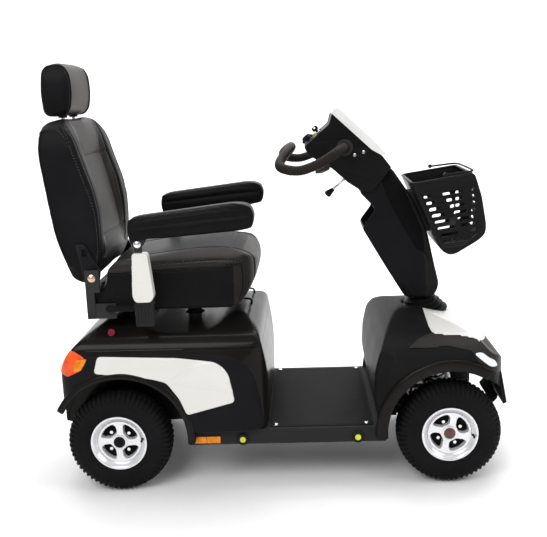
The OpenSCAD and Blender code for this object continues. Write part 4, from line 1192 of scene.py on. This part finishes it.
def make_tiller():
    form = common(prism(rounded(TILLER_SIDE, 14), "y", -78, 78),
                  prism(rounded(whole(TILLER_FRONT, True), 14), "x", 200, 600))
    soften(form, 3.5, 7)
    band = prism(rounded(TILLER_BAND, 10), "y", 74.5, 100)
    cut(form, prism(rounded(TILLER_POCKET, 8), "y", -71, 71), both(band))
    soften(form, 2.2, 2)
    for side in SIDES:
        edge = [(470, side * 74, 560), (490, side * 77, 600), (474, side * 78, 690), (452, side * 78, 712)]
        creased(form, edge, 20, 4, 1.6)
        lower = [(430, side * 78, 560), (372, side * 78, 660), (300, side * 78, 770)]
        creased(form, lower, 20, 5, 1.4)
    finish(form, "tiller", "tiller_black", "tiller_cover", name="tiller_shell", flat_angle=60)
    paint(form, MATERIALS["gloss_black"], lambda c, n: c.z < 756 and c.x > 474 - (c.z - 600) * 0.06)
    inlay = both(prism(rounded(TILLER_BAND, 10), "y", 72, 75.2))
    bevelled(inlay, 0.8)
    finish(inlay, "tiller", "tiller_black", material=DARK_INSIDE, name="tiller_side_bands", flat_angle=35)
    ribs = join("tiller_pocket_ribs", *(prism([(296, 770), (302, 772), (346, 700), (341, 696)], "y", y - 1.2,
                                              y + 1.2) for y in range(-60, 61, 15)))
    finish(ribs, "tiller", "tiller_black", flat_angle=35)


def make_head():
    form = common(prism(rounded(HEAD_SIDE, 5), "y", -104, 104),
                  prism(rounded(whole(HEAD_FRONT, True), 9), "x", 0, 400))
    soften(form, 2.6, 3)
    wells = [on_dash(turned([(0, -5), (r, -5), (r, 20), (0, 20)], (0, 0, 0), (0, 0, 1), 40), along, across)
             for along, across, r in ((22, -20, 20), (62, -62, 11), (46, 62, 9), (30, 74, 7))]
    recess = on_dash(prism([(-9.5, -16.5), (9.5, -16.5), (9.5, 16.5), (-9.5, 16.5)], "z", -4, 20), 66, 26)
    cut(form, *wells, recess)
    for side in SIDES:
        groove_line = [(112, side * 104, 1070), (136, side * 104, 1075), (214, side * 104, 1077),
                       (255, side * 104, 1073), (285, side * 104, 1058)]
        creased(form, groove_line, 30, 3.0, -1.8)
        creased(form, [(190, side * 98, 985), (300, side * 90, 950)], 40, 6, -1.5)
    finish(form, "tiller", "head_black", "head_base", name="head_casing", flat_angle=55)
    lid = common(prism(rounded(LID_SIDE, 4), "y", -108, 108),
                 prism(rounded([(108, 1010), (108, 1182), (-108, 1182), (-108, 1010)], 12, 8), "x", 0, 400))
    bevelled(lid, 2.2, 3, angle_limit=math.radians(35))
    finish(lid, "tiller", "head_white", "head_cover", name="head_lid", flat_angle=40)
    # The collars are real, but their grey instead of black is a painted highlight round the handlebar exit.
    clamps = [turned([(GRIP_R + 0.2, -8), (24, -8), (26, -5), (26, 4), (23, 7), (GRIP_R + 0.2, 7)],
                     (213.5, side * 103, 1052.5), (-0.1, side, 0.05), 48, "clamp") for side in SIDES]
    finish(join("handlebar_collars", *clamps), "tiller", "trim_grey", flat_angle=35)
    blocks = both(prism(rounded([(210, 1046), (232, 1050), (286, 1052), (289, 1018), (264, 1009),
                                 (214, 1020)], 7), "y", 98, 107))
    bevelled(blocks, 1.5, 3)
    finish(blocks, "tiller", "control_black", name="handlebar_clamps", flat_angle=35)
    bolts = [turned([(0, 0), (6.5, 0), (6.5, 2.5), (4.5, 4), (0, 4.4)], (x, side * 106, z), (0, side, 0), 6,
                    "bolt") for side in SIDES for x, z in ((244, 1028), (272, 1036))]
    finish(join("clamp_bolts", *bolts), "tiller", "bright_steel", material=CHROME, flat_angle=30)


def make_dash_controls():
    rings = []
    for height, radius, lobe in ((-12, 4, 0), (2, 4.8, 0), (3, 17, 2.0), (5, 18.4, 2.2), (10, 18.2, 2.2),
                                 (12, 16, 1.2), (17, 13.6, 0.4), (19.4, 11.5, 0), (20, 9, 0), (19, 7, 0)):
        rings.append([Vector((math.cos(a), math.sin(a), 0)) * (radius + lobe * math.cos(6 * a)) * MM
                      + Vector((0, 0, height * MM)) for a in (2 * math.pi * k / 72 for k in range(72))])
    finish(on_dash(loft(rings, "speed_dial_knob"), 22, -20), "speed_dial", "control_black", "speed_knob",
           flat_angle=50)
    marker = on_dash(prism(rounded([(2, -1), (12, -1), (12, 1), (2, 1)], 0.8), "z", 17.5, 20.2), 22, -20)
    finish(marker, "speed_dial", "control_black", material=MATERIALS["head_white"], name="speed_dial_mark")

    barrel = turned([(0, -14), (4.8, -14), (4.8, 1.5), (9, 2), (9, 4), (8, 5), (0, 5)], (0, 0, 0), (0, 0, 1),
                    40, "barrel")
    finish(on_dash(barrel, 62, -62), "key", "bright_steel", name="key_barrel", flat_angle=35)
    bow = prism(rounded([(-3.5, 4), (-4, 9), (-10, 12), (-10, 22), (-6, 25), (6, 25), (10, 22), (10, 12),
                         (4, 9), (3.5, 4)], 3), "y", -1.5, 1.5, "bow")
    cut(bow, cylinder((0, -4, 20), (0, 1, 0), 2.6, 8, 24))
    bevelled(bow, 0.5)
    finish(on_dash(bow, 62, -62), "key", "control_black", "ignition_key", name="key_bow", flat_angle=35)

    horn = turned([(0, -6), (6.9, -6), (6.9, 2.5), (6, 4.2), (3, 4.9), (0, 5)], (0, 0, 0), (0, 0, 1), 40,
                  "horn_dome")
    finish(on_dash(horn, 46, 62), "horn", "horn_yellow", "horn_button", flat_angle=50)
    button = turned([(0, -5), (6.4, -5), (6.4, 1.5), (5, 2.6), (0, 2.8)], (0, 0, 0), (0, 0, 1), 32,
                    "light_switch")
    finish(on_dash(button, 30, 74), "tiller", "trim_grey", flat_angle=50)

    rocker = prism(rounded([(-14.8, -2.4), (14.8, -2.4), (14.8, 3.3), (6, 1.6), (0, 1.1), (-6, 1.6),
                            (-14.8, 3.3)], 1.2), "x", -7.9, 7.9, "rocker")
    bevelled(rocker, 0.5)
    finish(on_dash(rocker, 66, 26), "indicator", "trim_grey", "indicator_rocker", name="indicator_paddle",
           flat_angle=35)
    arrows = join("indicator_arrows", *(prism([(-3, s * 7), (3, s * 7), (0, s * 12)], "z", 1.5, 3.1) for s
                                        in SIDES))
    finish(on_dash(arrows, 66, 26), "indicator", "trim_grey", material=MATERIALS["lamp_red"], flat_angle=20)
    bezel = prism(rounded([(-11, -18), (11, -18), (11, 18), (-11, 18)], 3), "z", -1.5, 1.6, "bezel")
    cut(bezel, prism([(-8.4, -15.5), (8.4, -15.5), (8.4, 15.5), (-8.4, 15.5)], "z", -5, 5))
    finish(on_dash(bezel, 66, 26), "tiller", "trim_grey", name="indicator_bezel", flat_angle=35)


def make_handlebar():
    path = smooth_path(through(BAR_HALF), 20)
    runs = np.concatenate([[0], np.cumsum(np.linalg.norm(np.diff(path, axis=0), axis=1))])
    along = np.minimum(runs, runs[-1] - runs)
    ribs = groove(((along / 9) % 1 - 0.5) * 9, 2.6) * step(150, 156, along) * (1 - step(292, 298, along))
    collar = groove(along - 148, 5) + groove(along - 300, 5)
    radii = GRIP_R - 0.5 - 0.8 * ribs + 0.5 * np.minimum(1, collar)
    finish(tube(path, radii, 24, "handlebar_loop"), "tiller", "grip_rubber", "handlebar", flat_angle=60)


def rounded_ring(x0, x1, y, z0, z1, corner):
    outline = rounded([(x0, z0), (x1, z0), (x1, z1), (x0, z1)], corner, 3)
    return [Vector((x, y, z)) * MM for x, z in outline]


def make_levers():
    bar = loft([rounded_ring(120, 144, y, 974, 985, 4) for y in (-108, 108)], "bar")
    post = cylinder((132, 0, 980), (0, 0, 1), 7.9, 44, 32)
    paddles = both(loft([rounded_ring(121, 143, 104, 974, 985, 4), rounded_ring(124, 144, 120, 976, 987, 4),
                         rounded_ring(130, 150, 140, 980, 993, 5), rounded_ring(138, 158, 165, 986, 1003, 6),
                         rounded_ring(145, 164, 184, 991, 1011, 7), rounded_ring(149, 161, 191.5, 995, 1008,
                                                                                 5)], "paddle"))
    finish(join("throttle_bar", bar, post), "throttle", "control_black", "throttle_lever", flat_angle=35)
    finish(paddles, "throttle", "grip_rubber", name="throttle_paddles", flat_angle=40)

    direction = (-math.sin(math.radians(50)), 0, -math.cos(math.radians(50)))
    rod = turned([(0, 2), (4, 2), (4, 74), (0, 74)], (232, 0, 956), direction, 24, "rod")
    eye = cylinder((232, -8, 956), (0, 1, 0), 7, 16, 32, bevel=1)
    finish(join("tilt_rod", rod, eye), "tilt_handle", "bright_steel", flat_angle=35)
    knob = turned([(0, 68), (5.5, 68), (6.5, 70), (8.5, 80), (11.8, 90), (11.6, 95), (8, 99.4), (3, 100),
                   (0, 100)], (232, 0, 956), direction, 32, "tilt_knob")
    finish(knob, "tilt_handle", "control_black", "tilt_lever", flat_angle=60)


# ---------------------------------------------------------------- basket, boot, springs and small parts

BASKET_SIDE = [(515, 719), (418, 939), (612, 967), (637, 893), (655, 800), (653, 771), (632, 750), (560, 706),
               (540, 704)]
BASKET_RISE = math.tan(math.radians(8.2))
BASKET_WALL, SLOT_HEIGHT = 3.5, 11.0


def basket_back(z):
    return 515 - (z - 719) * 97 / 220


def basket_half(z):
    return 121 + 28 * (z - 700) / 262


def slot_bar(x0, x1, z):
    """A through slot from x0 to x1 that climbs forward as the rim does."""
    lift = (x1 - x0) * BASKET_RISE
    outline = [(x0, z), (x1, z + lift), (x1, z + lift + SLOT_HEIGHT), (x0, z + SLOT_HEIGHT)]
    return prism(rounded(outline, 5, 3), "y", -200, 200, "slot")


def make_basket():
    outer = common(prism(rounded(BASKET_SIDE, 14), "y", -160, 160),
                   prism(rounded(whole([(basket_half(690), 690), (basket_half(990), 990)], True), 14), "x",
                         300, 720))
    inner_side = [(525, 727), (basket_back(1000) + 7, 1000), (598, 1000), (633, 893), (651, 800), (649, 773),
                  (629, 754), (559, 710), (543, 709)]
    inner = common(prism(rounded(inner_side, 12), "y", -160, 160),
                   prism(rounded(whole([(basket_half(700) - BASKET_WALL, 700),
                                        (basket_half(1000) - BASKET_WALL, 1000)], True), 12), "x", 300, 720))
    cut(outer, inner)
    slots = []
    for row in range(8):
        z = 742 + row * 21
        back = basket_back(z) + 16
        first = 64 - row * 6
        second = 22 + row * 5.0
        start = back + first + 16 + row * 3
        slots.append(slot_bar(back, back + first, z))
        if row > 1:
            slots.append(slot_bar(start, start + second, z + (start - back) * BASKET_RISE))
        slots.append(slot_bar(606, 624 - row * 1.5, z + 8 + (600 - back) * BASKET_RISE * 0.6))
        for y in (-78, 0, 78):
            slots.append(prism(rounded([(y - 28, z + 28), (y + 28, z + 28), (y + 28, z + 39),
                                        (y - 28, z + 39)], 5, 3), "x", 600, 700, "slot"))
    for y in range(-90, 91, 30):
        slots.append(prism(rounded([(565, y - 6), (635, y - 6), (635, y + 6), (565, y + 6)], 5, 3), "z", 690,
                           757, "slot"))
    cut(outer, *slots)
    bevelled(outer, 0.7, angle_limit=math.radians(40))
    finish(outer, "carrier", "basket_plastic", "basket", name="basket_shell", flat_angle=35)
    edge = rounded([(421, -145), (607, -148), (607, 148), (421, 145)], 26, 8)
    rim = tube([(x, y, 936 + (x - 418) * BASKET_RISE) for x, y in edge], 4.2, 12, "basket_rim", closed=True)
    finish(rim, "carrier", "basket_plastic")
    ridges = []
    for height in (727, 733, 739):
        half = basket_half(height) + 0.6
        x0, x1 = basket_back(height) + 8, 600 + (height - 733) * 1.6
        for side in SIDES:
            ridges.append(tube([(x0, side * half, height), (x1, side * half,
                                                            height + (x1 - x0) * BASKET_RISE)], 1.6, 8))
    finish(join("basket_ridges", *ridges), "carrier", "basket_plastic")
    half = [(520, -152, 963), (560, -151.5, 967), (598, -146, 971), (611, -120, 972), (614, -60, 972)]
    bail = tube(smooth_path(through(half), 8), 3.2, 16, "bail")
    eyes = join("eyes", *(turned([(0, 0), (6, 0), (6.6, 1), (6.6, 6), (5, 7.5), (0, 8)],
                                 (520, side * 150, 963), (0, side, 0), 24) for side in SIDES))
    finish(join("basket_bail", bail, eyes), "bail", "control_black", "basket_handle", flat_angle=45)


def make_boot():
    """Pleated rubber boot round the foot of the column."""
    pleats = [(76.5, 0), (77, 6), (76, 10), (70, 13), (71.5, 17), (74, 20), (73, 24), (64, 27), (61.5, 30),
              (65, 33), (65, 37), (60, 40), (52, 42), (51, 45), (54, 48), (53.5, 51), (44, 54), (41.5, 57),
              (38, 60)]
    outer = smooth_path(pleats, 4)
    profile = [*((float(r), float(h)) for r, h in outer), (34, 60), (34, 50), (46, 38), (58, 24), (66, 8),
               (70, 0), (76.5, 0)]
    boot = turned(profile, Vector(STEER_BASE) - STEER_AXIS * 14, STEER_AXIS, 96, "column_boot")
    finish(boot, "column", "bellows_rubber", "bellows", flat_angle=70)
    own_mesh(boot)
    ring = turned([(77.2, -14), (84, -14), (86, -10), (84, -5), (79, -3), (77.2, -4), (77.2, -14)],
                  STEER_BASE, STEER_AXIS, 96, "boot_ring")
    finish(ring, "chassis", "floor_plastic", flat_angle=40)


WIRE, COIL_R, COIL_STEPS = 4.5, 18.0, 28


def spring(x, y, low, high, turns):
    """A coil with closed ends and two cups."""
    points = []
    for k in range(turns * COIL_STEPS + 1):
        t = k / (turns * COIL_STEPS)
        rise = step(0.0, 1.0, t) * 0.25 + t * 0.75
        angle = 2 * math.pi * k / COIL_STEPS
        points.append((x + COIL_R * math.cos(angle), y + COIL_R * math.sin(angle),
                       low + WIRE + (high - low - 2 * WIRE) * rise))
    cups = [turned([(0, 0), (COIL_R + 4, 0), (COIL_R + 4, 2), (COIL_R - 6, 5), (COIL_R - 7, 12), (0, 12)],
                   (x, y, z), (0, 0, way), 40) for z, way in ((low, 1), (high, -1))]
    return join("spring", tube(points, WIRE, 10, "coil"), *cups)


def make_springs():
    for name, x, y, low, high, turns, joint, keep, node in (
            ("front_coils", 520, 72, 187.5, 401.5, 6, "front_suspension_travel", 0.876, "front_springs"),
            ("rear_coils", -520, 113, 198.5, 381.5, 5, "rear_suspension_travel", 0.823, "rear_springs")):
        coils = join(name, *(spring(x, side * y, low, high, turns) for side in SIDES))
        finish(coils, "chassis", "spring_steel", node, flat_angle=60)
        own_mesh(coils)


def make_floor():
    base = prism(rounded([(-46, -276), (282, -276), (282, 276), (-46, 276)], 14), "z", 196, 199)
    ribs = [prism(rounded([(-38, y - 2.6), (274, y - 2.6), (274, y + 2.6), (-38, y + 2.6)], 2.5), "z", 198.6,
                  200) for y in range(-264, 265, 8)]
    mat = join("mat", base, *ribs)
    bevelled(mat, 0.4)
    finish(mat, "chassis", "mat_rubber", "floor_mat", name="ribbed_mat", flat_angle=35)
    screws = [turned([(0, 0), (8, 0), (7, 1.6), (4, 2.5), (1.5, 2.5), (0, 1.2)], (x, side * 262, 199.2),
                     (0, 0, 1), 32) for side in SIDES for x in (-26, 262)]
    finish(join("mat_screws", *screws), "chassis", "bright_steel", flat_angle=50)


def make_small_parts():
    rings, caps = [], []
    for side in SIDES:
        for x in (-130, 232):
            rings.append(turned([(9, 0), (19, 0), (19, 5), (17.5, 7.6), (12, 8), (10.5, 6), (9, 6), (9, 0)],
                                (x, side * 288, 164), (0, side, 0), 48))
            caps.append(turned([(0, 2), (9.5, 2), (9.5, 8.5), (7.5, 10.4), (4, 11), (3, 9.6), (0, 9.4)],
                               (x, side * 288, 164), (0, side, 0), 40))
    finish(join("tie_down_rings", *rings), "chassis", "control_black", flat_angle=40)
    finish(join("tie_down_caps", *caps), "chassis", "tie_down", "tie_downs", flat_angle=40)
    lean = math.radians(62)
    axis = (0, -math.sin(lean), math.cos(lean))
    place = (-527, -232, 500)
    rod = turned([(0, -30), (4.5, -30), (4.5, 22), (0, 22)], place, axis, 24, "rod")
    finish(rod, "freewheel", "bright_steel", name="freewheel_rod", flat_angle=40)
    knob = turned([(0, 21), (8, 21), (9.5, 23), (11.8, 26.5), (12, 29), (12, 31.5), (10.5, 33.6), (5, 34),
                   (0, 33.6)], place, axis, 40, "freewheel_knob")
    finish(knob, "freewheel", "red_knob", "freewheel_lever", flat_angle=50)


def make_hinge_plates():
    """Pressed hinge plates at the foot of the backrest, with a pivot eye, a pin and bevelled edges."""
    outline = [(-604, 668), (-560, 664), (-552, 700), (-596, 790), (-625, 790)]
    plate = prism(rounded(outline, 9), "y", 228, 233)
    combine(plate, prism(rounded([(-590, 752), (-606, 752), (-606, 774), (-594, 774)], 5), "y", 220, 240),
            "DIFFERENCE")
    eye = cylinder((*RECLINE_PIVOT[:1], 228, RECLINE_PIVOT[1]), (0, 1, 0), 17, 7.5, 40, bevel=1.2)
    pin = cylinder((*RECLINE_PIVOT[:1], 233, RECLINE_PIVOT[1]), (0, 1, 0), 7.9, 18, 32)
    plates = both(join("plates", plate, eye, pin))
    bevelled(plates, 0.9)
    finish(plates, "seat_back", "bright_steel", "backrest_plates", material=MATERIALS["frame_steel"],
           name="backrest_hinges", flat_angle=35)


def dress_frame_nodes():
    """CAD nodes that stay in view get the same kinds of material, and their edges are softened."""
    slots = {part["node"]: part["material_slot"] for part in frame["record"]["subparts"]}
    for name, obj in frame["nodes"].items():
        obj.data.materials.clear()
        obj.data.materials.append(MATERIALS[slots[name]])
        bevel = obj.modifiers.new("softened edges", "BEVEL")
        bevel.width = 0.9 * MM
        bevel.segments = 2
        bevel.limit_method = "ANGLE"
        bevel.angle_limit = math.radians(40)


make_camera()
make_studio()
make_wheels()
make_rear_body()
make_rear_lights()
make_reflectors()
make_front_body()
make_headlights()
make_mudflaps()
make_cushion()
make_backrest()
make_headrest()
make_armrests()
make_arm_uprights()
make_seat_controls()
make_tiller()
make_head()
make_dash_controls()
make_handlebar()
make_levers()
make_basket()
make_boot()
make_springs()
make_floor()
make_small_parts()
make_hinge_plates()
dress_frame_nodes()
